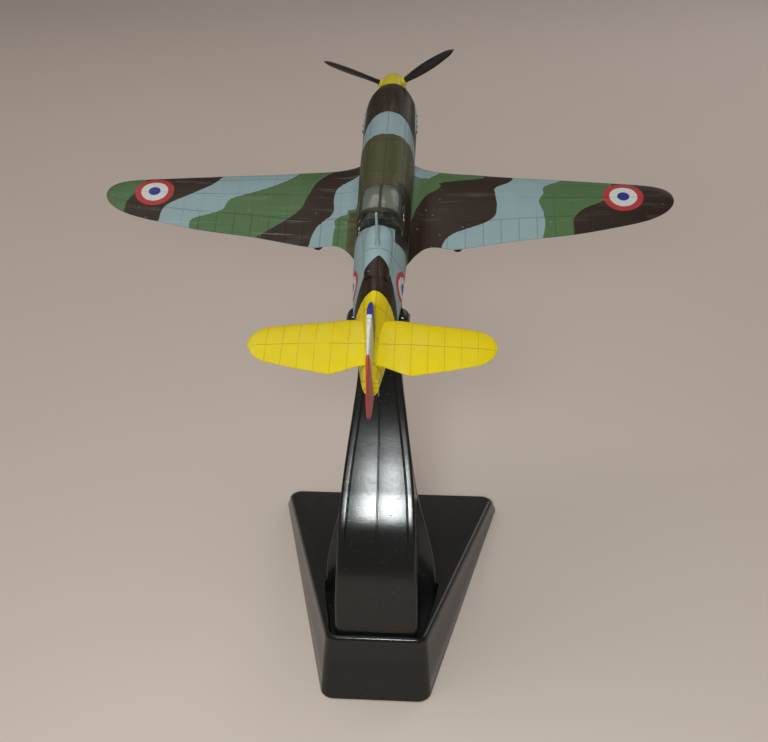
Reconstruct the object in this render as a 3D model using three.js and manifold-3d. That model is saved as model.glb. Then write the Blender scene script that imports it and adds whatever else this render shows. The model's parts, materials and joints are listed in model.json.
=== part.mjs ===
// Propeller fighter display model, 1:72, on a black stand.
// Millimetres, +Z up. The nose points along -Y and the port (left) wing along +X.
import * as THREE from 'three';
import { mergeVertices } from 'three/addons/utils/BufferGeometryUtils.js';
import Module from 'manifold-3d';

const wasm = await Module();
wasm.setup();

// ---- Driving dimensions ----------------------------------------------------
const GAP = 0.3;                 // clearance kept between touching pieces
const NOSE_UP = 20;              // degrees, the attitude that the stand holds
const WING_HEIGHT = 99.66;       // wing trailing edge at the root, above the table
const HALF_SPAN = 70.83;
const DIHEDRAL = Math.tan(THREE.MathUtils.degToRad(4));
const ROOT_X = 7.5;              // where the wing panel leaves the fuselage
const THRUST_Z = 6.7;            // propeller axis above the wing trailing edge
const BLADE_RADIUS = 20.2;
const PROP_Y = -55.4;            // plane of the blades
const COWL_FRONT_Y = -51.0;
const WHEEL_X = 18.4;
const WHEEL_RADIUS = 4.5;

// ---- Materials -------------------------------------------------------------
const finish = (color, roughness, metalness = 0) =>
  new THREE.MeshStandardMaterial({ color, roughness, metalness });
const camouflage = finish(0x50704a, 0.55);
const tailYellow = finish(0xd8c814, 0.5);
const noseYellow = finish(0xd8c814, 0.45);
const bladeBlack = finish(0x1a1818, 0.5);
const standBlack = finish(0x0c0d0e, 0.25);
const clearPlastic = finish(0xb8c0b0, 0.08);
const cockpitBlack = finish(0x202220, 0.7);
const gearGrey = finish(0x8a9496, 0.55);
const tyreBlack = finish(0x151515, 0.85);
const steel = finish(0xa8a8a8, 0.3, 1);
const exhaustBrown = finish(0x40302a, 0.6, 0.4);

// ---- Solid helpers ---------------------------------------------------------
function solid(geometry) {
  const bare = geometry.clone();
  bare.deleteAttribute('normal');
  bare.deleteAttribute('uv');
  const merged = mergeVertices(bare, 1e-4);
  return new wasm.Manifold(new wasm.Mesh({
    numProp: 3,
    vertProperties: Float32Array.from(merged.attributes.position.array),
    triVerts: Uint32Array.from(merged.index.array),
  }));
}

function geometryOf(manifold) {
  const mesh = manifold.getMesh();
  const geometry = new THREE.BufferGeometry();
  geometry.setAttribute('position', new THREE.BufferAttribute(mesh.vertProperties, 3));
  geometry.setIndex(new THREE.BufferAttribute(mesh.triVerts, 1));
  geometry.computeVertexNormals();
  return geometry;
}

// A closed body through rings of equal point count; each end is closed by a fan.
function loft(rings) {
  const count = rings[0].length;
  const points = rings.flat();
  const triangles = [];
  for (let ring = 0; ring + 1 < rings.length; ring++) {
    for (let i = 0; i < count; i++) {
      const a = ring * count + i;
      const b = ring * count + (i + 1) % count;
      triangles.push(a, b, b + count, a, b + count, a + count);
    }
  }
  const addCap = (ring, flip) => {
    const centre = new THREE.Vector3();
    rings[ring].forEach((point) => centre.addScaledVector(point, 1 / count));
    const hub = points.push(centre) - 1;
    for (let i = 0; i < count; i++) {
      const a = ring * count + i;
      const b = ring * count + (i + 1) % count;
      triangles.push(...(flip ? [b, a, hub] : [a, b, hub]));
    }
  };
  addCap(0, true);
  addCap(rings.length - 1, false);
  if (enclosedVolume(points, triangles) < 0) triangles.reverse();
  const geometry = new THREE.BufferGeometry().setFromPoints(points);
  geometry.setIndex(triangles);
  return geometry;
}

function enclosedVolume(points, triangles) {
  let volume = 0;
  const cross = new THREE.Vector3();
  for (let i = 0; i < triangles.length; i += 3) {
    cross.crossVectors(points[triangles[i + 1]], points[triangles[i + 2]]);
    volume += points[triangles[i]].dot(cross) / 6;
  }
  return volume;
}

function block(x0, x1, y0, y1, z0, z1) {
  const box = new THREE.BoxGeometry(x1 - x0, y1 - y0, z1 - z0);
  return box.translate((x0 + x1) / 2, (y0 + y1) / 2, (z0 + z1) / 2);
}

// A round bar along an axis ('x', 'y' or 'z'), centred on the given point.
function bar(radius, length, axis, x, y, z, sides = 20) {
  const round = new THREE.CylinderGeometry(radius, radius, length, sides);
  if (axis === 'x') round.rotateZ(Math.PI / 2);
  if (axis === 'z') round.rotateX(Math.PI / 2);
  return round.translate(x, y, z);
}

// A flat shape in the Y-Z plane given thickness along X about x = 0.
function plateYZ(shape, thickness) {
  const plate = new THREE.ExtrudeGeometry(shape, { depth: thickness, bevelEnabled: false, curveSegments: 10 });
  plate.translate(0, 0, -thickness / 2);
  plate.applyMatrix4(new THREE.Matrix4().makeBasis(
    new THREE.Vector3(0, 1, 0), new THREE.Vector3(0, 0, 1), new THREE.Vector3(1, 0, 0)));
  return plate;
}

const lerp = THREE.MathUtils.lerp;

// Reads a smooth curve through hand-set rows [position, value, value, ...].
function rowReader(rows) {
  const curves = rows[0].slice(1).map((_, column) => new THREE.CatmullRomCurve3(
    rows.map((row) => new THREE.Vector3(row[0], row[column + 1], 0)), false, 'centripetal'));
  return (position) => curves.map((curve) => {
    let low = 0;
    let high = 1;
    for (let step = 0; step < 24; step++) {
      const middle = (low + high) / 2;
      if (curve.getPoint(middle).x < position) low = middle;
      else high = middle;
    }
    return curve.getPoint(low).y;
  });
}

function addPart(group, name, geometry, material) {
  const mesh = new THREE.Mesh(geometry, material);
  mesh.name = name;
  group.add(mesh);
  return mesh;
}

const largestPiece = (manifold) => manifold.decompose().sort((a, b) => b.volume() - a.volume())[0];

// Where the airframe's own frame stands over the table.
const airframePlacement = new THREE.Matrix4()
  .makeRotationX(-THREE.MathUtils.degToRad(NOSE_UP)).setPosition(0, 0, WING_HEIGHT);

const addSolid = (group, name, manifold, material) => addPart(group, name, geometryOf(manifold), material);

// ---- Stand: base -----------------------------------------------------------
// A wedge with a trapezoid plan, tall at the rear and low at the front.
const BASE = {
  frontY: -22.5, rearY: 48.7, frontHalf: 33.0, rearHalf: 12.4,
  frontZ: 4.74, rearZ: 15.95, flareFront: 1.9, flareRear: 5.6, flareSide: 1.0, wall: 1.8,
};
const RECESS = { frontY: 24.4, rearY: 47.4, frontHalf: 15.6, rearHalf: 11.3, depth: 2.2 };

function baseTopZ(y) {
  const t = (y - BASE.rearY) / (BASE.frontY - BASE.rearY);
  return lerp(BASE.rearZ, BASE.frontZ, t);
}

// Rounded trapezoid in plan: four straight sides joined by arcs.
function trapezoidRing(frontY, rearY, frontHalf, rearHalf, radius, height, arcSteps = 5) {
  const corners = [[frontHalf, frontY], [rearHalf, rearY], [-rearHalf, rearY], [-frontHalf, frontY]]
    .map(([x, y]) => new THREE.Vector2(x, y));
  const ring = [];
  corners.forEach((corner, i) => {
    const toPrevious = corners[(i + 3) % 4].clone().sub(corner).normalize();
    const toNext = corners[(i + 1) % 4].clone().sub(corner).normalize();
    const half = Math.acos(toPrevious.dot(toNext)) / 2;
    const middle = toPrevious.clone().add(toNext).normalize();
    const centre = corner.clone().addScaledVector(middle, radius / Math.sin(half));
    const start = corner.clone().addScaledVector(toPrevious, radius / Math.tan(half)).sub(centre);
    const end = corner.clone().addScaledVector(toNext, radius / Math.tan(half)).sub(centre);
    const sweep = Math.atan2(start.cross(end), start.dot(end));
    for (let step = 0; step <= arcSteps; step++) {
      const point = start.clone().rotateAround(new THREE.Vector2(), sweep * step / arcSteps).add(centre);
      ring.push(new THREE.Vector3(point.x, point.y, height(point.y)));
    }
  });
  return ring;
}

function baseOutline(inset, height, radius) {
  return trapezoidRing(BASE.frontY + inset, BASE.rearY - inset, BASE.frontHalf - inset,
    BASE.rearHalf - inset * 0.8, radius, height);
}

// The space inside the shell, open underneath.
function baseHollow(inset) {
  return solid(loft([
    trapezoidRing(BASE.frontY + 0.1 + inset, BASE.rearY + 3.4 - inset, BASE.frontHalf - 1.4 - inset,
      BASE.rearHalf - 1.2 - inset, 2, () => -1),
    trapezoidRing(BASE.frontY + BASE.wall + inset, BASE.rearY - BASE.wall - inset, BASE.frontHalf - 2.6 - inset,
      BASE.rearHalf - BASE.wall - inset, 1.6, (y) => baseTopZ(y) - BASE.wall),
  ]));
}

function makeBase(group) {
  const edge = 1.1;
  const foot = trapezoidRing(BASE.frontY - BASE.flareFront, BASE.rearY + BASE.flareRear,
    BASE.frontHalf + BASE.flareSide, BASE.rearHalf + BASE.flareSide, 3.5, () => 0);
  const shoulder = baseOutline(0, (y) => baseTopZ(y) - edge, 3.2);
  const bevel = baseOutline(edge * 0.3, (y) => baseTopZ(y) - edge * 0.3, 3.0);
  const top = baseOutline(edge, baseTopZ, 2.6);
  const outer = solid(loft([foot, shoulder, bevel, top]));
  const hollow = baseHollow(0);
  const socket = RECESS;
  const recess = (grow, floor) => solid(loft([
    trapezoidRing(socket.frontY - grow, socket.rearY + grow, socket.frontHalf + grow,
      socket.rearHalf + grow, 1 + grow, floor),
    trapezoidRing(socket.frontY - grow, socket.rearY + grow, socket.frontHalf + grow,
      socket.rearHalf + grow, 1 + grow, () => 30),
  ]));
  const socketFloor = (y) => baseTopZ(y) - socket.depth;
  const socketBlock = recess(1.2, (y) => socketFloor(y) - 1.6);
  let shell = outer.subtract(hollow.subtract(socketBlock)).subtract(recess(0, socketFloor));
  for (const y of ARM_SCREW_Y) shell = shell.subtract(solid(bar(1.0, 40, 'z', 0, y, 10, 16)));
  addSolid(group, 'base_shell', shell, standBlack);

  const coverTop = 1.6;
  let cover = baseHollow(0.35).intersect(solid(block(-40, 40, -40, 60, 0, coverTop)));
  for (const [x, y] of COVER_SCREWS) cover = cover.subtract(solid(bar(1.9, 10, 'z', x, y, 0, 16)));
  for (const y of ARM_SCREW_Y) cover = cover.subtract(solid(bar(2.8, 10, 'z', 0, y, 0, 20)));
  addSolid(group, 'base_bottom_cover', cover, standBlack);
  COVER_SCREWS.forEach(([x, y], i) => {
    const screw = addPart(group, `cover_screw_${i + 1}`, screwGeometry(1.55, 0.9, 0.7, 2.6), steel);
    screw.position.set(x, y, 0.4);
  });
  ARM_SCREW_Y.forEach((y, i) => {
    const headZ = baseTopZ(y) - socket.depth - 1.6 - GAP - 1.2;
    const screw = addPart(group, `arm_screw_${i + 1}`, screwGeometry(1.8, 1.1, 0.7, 5.2), steel);
    screw.position.set(0, y, headZ);
  });
}

const COVER_SCREWS = [[20, -15], [-20, -15], [7, 44], [-7, 44]];
const ARM_SCREW_Y = [31, 42];

// A pan-head screw standing on its head at z = 0, shank upwards.
function screwGeometry(headRadius, headHeight, shankRadius, shankLength) {
  const profile = [
    [0, 0], [headRadius * 0.8, 0], [headRadius, headHeight * 0.4], [headRadius, headHeight],
    [shankRadius, headHeight], [shankRadius, headHeight + shankLength * 0.85], [0, headHeight + shankLength],
  ].map(([radius, z]) => new THREE.Vector2(radius, z));
  const body = solid(new THREE.LatheGeometry(profile, 10).rotateX(Math.PI / 2));
  const slot = headRadius * 0.28;
  const reach = headRadius * 0.7;
  const cross = solid(block(-reach, reach, -slot / 2, slot / 2, -1, headHeight * 0.5))
    .add(solid(block(-slot / 2, slot / 2, -reach, reach, -1, headHeight * 0.5)));
  return geometryOf(body.subtract(cross));
}

// ---- Stand: arm ------------------------------------------------------------
// The arm rises from the rear of the base, bows forward and straightens up under the belly.
// Rows: [height fraction, rear web y, z, half width, front plate y, z, front half width]
const ARM_ROWS = [
  [0.00, 47.0, 13.0, 10.3, 26.4, 9.8, 14.6],
  [0.15, 45.4, 24.5, 10.2, 25.6, 20.0, 14.3],
  [0.28, 43.2, 33.5, 9.8, 23.9, 29.5, 12.4],
  [0.40, 39.2, 42.2, 9.5, 21.6, 39.0, 9.8],
  [0.53, 33.2, 50.6, 8.9, 18.0, 50.0, 7.8],
  [0.65, 27.4, 58.2, 7.8, 14.4, 60.5, 6.4],
  [0.77, 22.6, 66.2, 6.5, 11.0, 70.8, 5.2],
  [0.89, 19.3, 75.2, 5.3, 8.3, 80.8, 4.7],
  [1.00, 16.9, 84.6, 4.9, 5.9, 89.4, 4.5],
];
const armAt = rowReader(ARM_ROWS);
const ARM_STEPS = 16;
const CRADLE_SEAT_Z = -7.3;       // flat top of the arm, in the airframe's frame
const CRADLE_SCREW_Y = 14.5;

function makeArm(group) {
  const wall = 1.7;
  const plate = 1.5;
  const channelRing = (t, inset) => {
    const [rearY, rearZ, half, frontY, frontZ, coverHalf] = armAt(t);
    const chamfer = 1.6;
    const w = half - inset;
    const rear = new THREE.Vector3(0, rearY - inset, rearZ);
    const front = new THREE.Vector3(0, frontY + plate + GAP - (inset > 0 ? 2 : 0), frontZ);
    const along = front.clone().sub(rear).normalize();
    const at = (x, distance) => rear.clone().addScaledVector(along, distance).setX(x);
    const end = Math.min(half, coverHalf) - inset;
    const ends = [front.clone().setX(-end), front.clone().setX(end)];
    return [at(w - chamfer, 0), at(-(w - chamfer), 0), at(-w, chamfer), ...ends, at(w, chamfer)];
  };
  const sweep = (ringAt, from = 0, to = 1) => solid(loft(
    Array.from({ length: ARM_STEPS + 1 }, (_, i) => ringAt(lerp(from, to, i / ARM_STEPS)))));
  const outer = sweep((t) => channelRing(t, 0));
  const inner = sweep((t) => channelRing(t, wall), 0.05, 0.95);
  const bosses = ARM_SCREW_Y.map((y) => solid(bar(1.9, 12, 'z', 0, y, 18, 14)));
  let shell = outer.subtract(inner).add(bosses[0]).add(bosses[1]);
  for (const y of ARM_SCREW_Y) shell = shell.subtract(solid(bar(1.0, 14, 'z', 0, y, 14, 14)));
  const trim = solid(block(-20, 20, -10, 60, -20, 0).applyMatrix4(socketPlane(0.25)))
    .add(solid(block(-20, 20, -20, 50, CRADLE_SEAT_Z - GAP, 20).applyMatrix4(airframePlacement)))
    .add(solid(bar(1.0, 12, 'z', 0, CRADLE_SCREW_Y, CRADLE_SEAT_Z, 12).applyMatrix4(airframePlacement)));
  addSolid(group, 'arm_rear_shell', shell.subtract(trim), standBlack);

  const plateRing = (t) => {
    const [, , , frontY, frontZ, half] = armAt(t);
    const face = new THREE.Vector3(0, frontY, frontZ);
    const corner = 0.5;
    const at = (x, back) => new THREE.Vector3(x, face.y + back, face.z);
    return [at(half - corner, 0), at(half, corner), at(half, plate), at(-half, plate), at(-half, corner),
      at(corner - half, 0)];
  };
  addSolid(group, 'arm_front_cover', sweep(plateRing).subtract(trim), standBlack);
}

// Places a block's top face on the sloping floor of the base's socket.
function socketPlane(clearance) {
  const slope = Math.atan2(BASE.rearZ - BASE.frontZ, BASE.rearY - BASE.frontY);
  const matrix = new THREE.Matrix4().makeRotationX(slope);
  matrix.setPosition(0, BASE.rearY, BASE.rearZ - RECESS.depth + clearance);
  return matrix.multiply(new THREE.Matrix4().makeTranslation(0, -BASE.rearY, 0));
}


// ---- Airframe: fuselage ----------------------------------------------------
// Everything from here on is in the airframe's own frame: origin at the wing's
// trailing edge on the centre line, nose along -Y, before the nose-up tilt.
// Rows: [y, half width, top z, bottom z, squareness of the section, narrowing towards the spine]
const FUSELAGE_ROWS = [
  [COWL_FRONT_Y, 4.6, 11.0, 2.2, 2.1, 0],
  [-48, 5.9, 12.2, 0.2, 2.2, 0.02],
  [-39, 6.85, 13.4, -1.8, 2.3, 0.06],
  [-31, 6.9, 13.9, -2.8, 2.4, 0.06],
  [-21, 6.85, 14.2, -3.5, 2.5, 0.02],
  [-7, 6.5, 14.4, -3.9, 2.6, 0],
  [0, 6.3, 14.4, -4.0, 2.7, 0],
  [9, 6.15, 14.8, -3.8, 2.6, 0.02],
  [13, 6.05, 15.2, -3.5, 2.4, 0.14],
  [18, 5.8, 15.1, -3.0, 2.2, 0.32],
  [24, 5.5, 14.3, -2.1, 2.1, 0.4],
  [30, 4.85, 13.4, -1.0, 2.1, 0.38],
  [38, 3.7, 12.3, 0.8, 2.1, 0.3],
  [44, 2.5, 11.3, 2.2, 2.1, 0.2],
  [47.4, 1.8, 10.7, 3.0, 2.1, 0.1],
];
const fuselageAt = rowReader(FUSELAGE_ROWS);

function fuselageRing(y, grow, sides) {
  const [half, top, bottom, power, narrowing] = fuselageAt(y);
  const middle = (top + bottom) / 2;
  return Array.from({ length: sides }, (_, i) => {
    const angle = 2 * Math.PI * i / sides;
    const bend = (value) => Math.sign(value) * Math.abs(value) ** (2 / power);
    return new THREE.Vector3(
      (half + grow) * bend(Math.cos(angle)) * (1 - narrowing * Math.max(0, Math.sin(angle))), y,
      middle + ((top - bottom) / 2 + grow) * bend(Math.sin(angle)));
  });
}

function fuselageLoft(fromY, toY, grow = 0, stations = 20, sides = 24) {
  return solid(loft(Array.from({ length: stations + 1 }, (_, i) =>
    fuselageRing(lerp(fromY, toY, i / stations), grow, sides))));
}

// Rounded fairing behind the pilot's head, blending into the spine.
function headrestFairing() {
  const rows = rowReader([
    [8.2, 1.4, 15.0], [8.8, 2.7, 16.0], [10.2, 3.3, 16.4], [13.5, 3.4, 16.2], [18, 3.2, 15.4], [23, 2.6, 14.4],
  ]);
  const stations = 6;
  return solid(loft(Array.from({ length: stations + 1 }, (_, i) => {
    const y = lerp(8.2, 23, i / stations);
    const [half, top] = rows(y);
    const low = 12.5;
    return Array.from({ length: 12 }, (_, k) => {
      const angle = Math.PI * k / 11;
      return new THREE.Vector3(half * Math.cos(angle), y, low + (top - low) * Math.sin(angle) ** 0.7);
    });
  })));
}

// Rows: [y, half width at the sill, top z]
const SILL_Z = 11.2;
const CANOPY_ROWS = [
  [-6.6, 3.2, 14.5], [-5.4, 4.2, 15.5], [-3.6, 4.9, 16.9], [-1.2, 5.3, 17.9], [2, 5.45, 18.2],
  [5, 5.4, 17.9], [8, 5.2, 17.0],
];

function canopyDome(shrink, grow = 0) {
  const at = rowReader(CANOPY_ROWS);
  const from = CANOPY_ROWS[0][0] - grow + shrink;
  const to = CANOPY_ROWS.at(-1)[0] + grow - shrink;
  const stations = 8;
  const low = SILL_Z - grow - (shrink > 0 ? 1 : 0);
  return solid(loft(Array.from({ length: stations + 1 }, (_, i) => {
    const y = lerp(from, to, i / stations);
    const [half, top] = at(THREE.MathUtils.clamp(y, -6.6, 8));
    return Array.from({ length: 13 }, (_, k) => {
      const angle = Math.PI * k / 12;
      const side = Math.sign(Math.cos(angle)) * Math.abs(Math.cos(angle)) ** 0.75;
      return new THREE.Vector3((half + grow - shrink) * side, y,
        low + (top + grow - shrink - low) * Math.sin(angle) ** 0.75);
    });
  })));
}

const BELLY = { frontY: -29, rearY: 0, topZ: 0.6 };
const FUSELAGE_SCREW_Y = [-26, -10.5];
const bellyCutter = (grow) => solid(block(-12, 12, BELLY.frontY - grow, BELLY.rearY + grow,
  -20, BELLY.topZ + grow));

function makeFuselage(group, wings, tailplanes, fin) {
  const wall = 1.3;
  let shell = fuselageLoft(COWL_FRONT_Y, 47.4);
  shell = shell.subtract(fuselageLoft(COWL_FRONT_Y + 1.6, 28, -wall, 8, 14));
  for (const y of FUSELAGE_SCREW_Y) shell = shell.add(solid(bar(1.7, 12, 'z', 0, y, 7, 14)));
  shell = shell.add(headrestFairing()).subtract(canopyDome(0, GAP));
  shell = shell.subtract(bellyCutter(GAP)).subtract(wings).subtract(tailplanes).subtract(fin);
  shell = shell.subtract(solid(bar(2.2, 8, 'y', 0, COWL_FRONT_Y, THRUST_Z, 20)));
  shell = shell.subtract(solid(bar(0.9, 3, 'z', 0, MAST.y, 16, 12)));
  for (const y of FUSELAGE_SCREW_Y) shell = shell.subtract(solid(bar(0.95, 7, 'z', 0, y, 3, 14)));
  addSolid(group, 'fuselage_shell', largestPiece(shell), camouflage);
}

// ---- Airframe: wing --------------------------------------------------------
// Leading and trailing edges as [x, y] from the root fillet to the rounded tip.
const LEADING_EDGE = [
  [4, -31.5], [7.5, -29.2], [10, -28.1], [24, -25.1], [42.5, -22.3], [55.6, -20.3], [64, -19.1], [68.2, -17.8],
  [70.2, -15.8], [HALF_SPAN, -13.5],
];
const TRAILING_EDGE = [
  [4, 8.5], [6, 6.0], [7.5, 3.4], [9.2, 1.4], [17.8, 1.1], [31, -0.9], [48, -2.8], [56, -4.4], [63.6, -6.2],
  [68, -8.8], [70.2, -11.6], [HALF_SPAN, -13.5],
];
const leadingAt = rowReader(LEADING_EDGE);
const trailingAt = rowReader(TRAILING_EDGE);
const AIRFOIL_STEPS = 8;

const chordZ = (x) => Math.max(0, Math.abs(x) - ROOT_X) * DIHEDRAL + 0.2;

// Closed airfoil section: upper surface back to front, then the lower surface.
function airfoilRing(x, frontY, rearY, z, ratio, grow = 0) {
  const chord = rearY - frontY;
  const ring = [];
  for (let i = 0; i < 2 * AIRFOIL_STEPS; i++) {
    const upper = i < AIRFOIL_STEPS;
    const turn = (upper ? i : 2 * AIRFOIL_STEPS - 1 - i) / (AIRFOIL_STEPS - 1);
    const along = (1 + Math.cos(Math.PI * turn)) / 2;
    const half = chord * ratio * 5 * (0.2969 * Math.sqrt(along) - 0.126 * along - 0.3516 * along ** 2
      + 0.2843 * along ** 3 - 0.1036 * along ** 4) + 0.18 * along + 0.04;
    const camber = chord * 0.08 * along * (1 - along);
    const reach = grow * (2 * along - 1);
    ring.push(new THREE.Vector3(x, frontY + chord * along + reach,
      z + camber + (upper ? 1 : -1) * (half + grow)));
  }
  return ring;
}

function wingPanel(side, grow = 0) {
  const stations = [4, 6, 7.5, 9.2, 12, 18, 26, 36, 46, 56, 62, 66, 68.6, 70, 70.6];
  return solid(loft(stations.map((x) => airfoilRing(side * x, leadingAt(x)[0], trailingAt(x)[0],
    chordZ(x), lerp(0.145, 0.115, x / HALF_SPAN), grow))));
}

function makeWing(group) {
  let wing = fuselageLoft(BELLY.frontY, BELLY.rearY, 0, 12).intersect(bellyCutter(0));
  wing = wing.add(wingPanel(1)).add(wingPanel(-1));
  wing = wing.subtract(solid(block(-5.2, 5.2, BELLY.frontY + 3, BELLY.rearY - 3, 1.0, 6)));
  wing = wing.subtract(solid(block(-5.2, 5.2, BELLY.rearY, 20, -6, 6)));
  for (const y of FUSELAGE_SCREW_Y) {
    wing = wing.subtract(solid(bar(1.0, 12, 'z', 0, y, 0, 14)));
    wing = wing.subtract(solid(bar(2.0, 6, 'z', 0, y, -4.6, 16)));
  }
  addSolid(group, 'wing_casting', largestPiece(wing), camouflage);
  FUSELAGE_SCREW_Y.forEach((y, i) => {
    const screw = addPart(group, `fuselage_screw_${i + 1}`, screwGeometry(1.6, 1.0, 0.65, 6.4), steel);
    screw.position.set(0, y, -3.1);
  });
}

function makeRadiator(group) {
  const rows = rowReader([
    [-19, 3.0, -6.2], [-17, 3.6, -7.4], [-10, 3.9, -8.0], [-3, 3.4, -7.0], [3, 2.4, -5.2],
  ]);
  const stations = 8;
  const bath = solid(loft(Array.from({ length: stations + 1 }, (_, i) => {
    const y = lerp(-19, 3, i / stations);
    const [half, low] = rows(y);
    return Array.from({ length: 14 }, (_, k) => {
      const angle = Math.PI * k / 13;
      return new THREE.Vector3(half * Math.cos(angle), y, -2 + (low + 2) * Math.sin(angle) ** 0.6);
    });
  })));
  const mouth = solid(block(-2.5, 2.5, -22, -15, -5.8, -4.9));
  const body = bath.subtract(fuselageLoft(-25, 12, GAP, 16)).subtract(mouth);
  addSolid(group, 'radiator_bath', body, camouflage);
}

// ---- Airframe: tail --------------------------------------------------------
const TAILPLANE_Z = 10.4;
const TAILPLANE_FRONT = [
  [1.1, 33.0], [2.9, 32.7], [12, 33.6], [21, 34.8], [24.4, 36.0], [26, 37.8], [26.45, 39.3],
];
const TAILPLANE_REAR = [[1.1, 44.8], [2.4, 45.2], [8.6, 47.2], [15, 46.2], [21, 44.6], [24.6, 42.9], [26, 41],
  [26.45, 39.3]];
const tailFrontAt = rowReader(TAILPLANE_FRONT);
const tailRearAt = rowReader(TAILPLANE_REAR);

function tailplanePanel(side, grow = 0) {
  const stations = [1.1, 2.6, 5, 8.6, 13, 18, 22, 24.6, 25.8, 26.3];
  return solid(loft(stations.map((x) => airfoilRing(side * x, tailFrontAt(x)[0], tailRearAt(x)[0],
    TAILPLANE_Z, 0.1, grow))));
}

// Fin and rudder in one outline: root, fin edge, rounded top, rudder, heel.
function finShape(grow = 0) {
  const shape = new THREE.Shape();
  shape.moveTo(48.0 - grow, 9.4);
  shape.lineTo(29.6 - grow, 11.6 - grow);
  shape.lineTo(29.6 - grow, 12.9);
  shape.quadraticCurveTo(32.6, 14.4, 34.0 - grow, 17.4);
  shape.bezierCurveTo(35.2, 20.6, 38.0, 21.2, 40.5, 21.1);
  shape.bezierCurveTo(44.6, 20.8, 47.6, 18.6, 50.6, 15.8);
  shape.bezierCurveTo(54.0, 12.4, 55.8, 9.0, 55.2, 6.6);
  shape.bezierCurveTo(54.8, 4.4, 53.6, 3.0, 52.2, 2.8);
  shape.lineTo(48.0 - grow, 2.8);
  shape.closePath();
  return shape;
}

function makeTail(group) {
  addSolid(group, 'tailplane_left', tailplanePanel(1), tailYellow);
  addSolid(group, 'tailplane_right', tailplanePanel(-1), tailYellow);
  addPart(group, 'fin_and_rudder', plateYZ(finShape(), 1.3), tailYellow);
}

function makeTailWheel(group) {
  const y = 41.5;
  const strut = solid(bar(0.55, 5.0, 'z', 0, y, 0.2, 12)).subtract(fuselageLoft(30, 47.4, GAP, 10));
  const fork = solid(block(-1.15, 1.15, y - 0.7, y + 0.7, -2.6, -1.8))
    .add(solid(block(-1.15, -0.8, y - 0.5, y + 0.5, -4.4, -1.8)))
    .add(solid(block(0.8, 1.15, y - 0.5, y + 0.5, -4.4, -1.8)));
  addSolid(group, 'tail_wheel_fork', largestPiece(strut.add(fork)), gearGrey);
  addPart(group, 'tail_wheel', bar(1.35, 1.0, 'x', 0, y, -4.1, 20), tyreBlack);
}

// ---- Airframe: cockpit -----------------------------------------------------
const MAST = { y: 14.4, topZ: 24.6 };

function makeCockpit(group) {
  const tub = solid(block(-3.9, 3.9, -5.4, 7.0, 4.4, 10.4)).subtract(solid(block(-3.3, 3.3, -4.8, 6.4, 5.2, 12)));
  addSolid(group, 'cockpit_tub', tub, cockpitBlack);
  const seatBack = solid(block(-2.0, 2.0, 4.6, 5.4, 5.5, 13.2));
  const seatPan = solid(block(-2.0, 2.0, 0.4, 4.8, 5.5, 7.6));
  addSolid(group, 'pilot_seat', seatBack.add(seatPan), cockpitBlack);
  const panelShape = new THREE.Shape();
  panelShape.moveTo(-3.0, 6.0);
  panelShape.lineTo(3.0, 6.0);
  panelShape.lineTo(3.0, 11.4);
  panelShape.absarc(0, 10.6, 3.0, 0.25, Math.PI - 0.25);
  panelShape.closePath();
  const panel = new THREE.ExtrudeGeometry(panelShape, { depth: 0.8, bevelEnabled: false, curveSegments: 10 });
  panel.rotateX(Math.PI / 2).translate(0, -3.6, 0);
  addPart(group, 'instrument_panel', panel, cockpitBlack);
  const stick = solid(bar(0.35, 4.0, 'z', 0, -1.6, 7.5, 12)).add(solid(bar(0.55, 1.0, 'z', 0, -1.6, 9.8, 12)));
  addSolid(group, 'control_stick', stick, cockpitBlack);
  addSolid(group, 'canopy', canopyDome(0).subtract(canopyDome(0.7)), clearPlastic);
  const mast = new THREE.CylinderGeometry(0.35, 0.6, MAST.topZ - 14.8, 12).rotateX(Math.PI / 2);
  addPart(group, 'aerial_mast', mast.translate(0, MAST.y, (MAST.topZ + 14.8) / 2), camouflage);
}

// ---- Airframe: nose --------------------------------------------------------
function makeNose(group) {
  const stubs = 6;
  for (const [name, side] of [['exhaust_left', 1], ['exhaust_right', -1]]) {
    let stack = solid(block(5.6, 7.5, -48.4, -35.0, 6.3, 7.6));
    for (let i = 0; i < stubs; i++) {
      const stub = new THREE.CylinderGeometry(0.5, 0.5, 1.9, 8).rotateZ(-0.4);
      stack = stack.add(solid(stub.translate(6.75, -47.2 + i * 2.25, 6.95)));
    }
    stack = stack.subtract(fuselageLoft(-50.9, -20, GAP, 14));
    const whole = largestPiece(stack);
    addSolid(group, name, side > 0 ? whole : whole.mirror([1, 0, 0]), exhaustBrown);
  }
  const scoopRing = (y, half, low) => Array.from({ length: 16 }, (_, k) => {
    const angle = 2 * Math.PI * k / 16;
    return new THREE.Vector3(half * Math.cos(angle), y, (low + 3) / 2 + (3 - low) / 2 * Math.sin(angle));
  });
  const scoop = solid(loft([scoopRing(-48.6, 2.2, -1.7), scoopRing(-46, 2.6, -2.6), scoopRing(-40, 2.6, -3.4),
    scoopRing(-35, 2.2, -3.2), scoopRing(-31, 1.4, -2.4)]))
    .subtract(solid(loft([scoopRing(-49, 1.7, -1.2), scoopRing(-45.6, 1.9, -1.9)])))
    .subtract(fuselageLoft(-50.9, -28, GAP, 14));
  addSolid(group, 'oil_cooler_scoop', largestPiece(scoop), camouflage);
  const bush = solid(bar(1.9, 4.4, 'y', 0, COWL_FRONT_Y + 1.8, THRUST_Z, 24))
    .subtract(solid(bar(0.8, 9, 'y', 0, COWL_FRONT_Y + 2, THRUST_Z, 24)));
  addSolid(group, 'shaft_bush', bush, steel);
}

// ---- Propeller -------------------------------------------------------------
const BLADE_ANGLES = [36.2, 156.2, 276.2];   // from starboard, seen from behind

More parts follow.
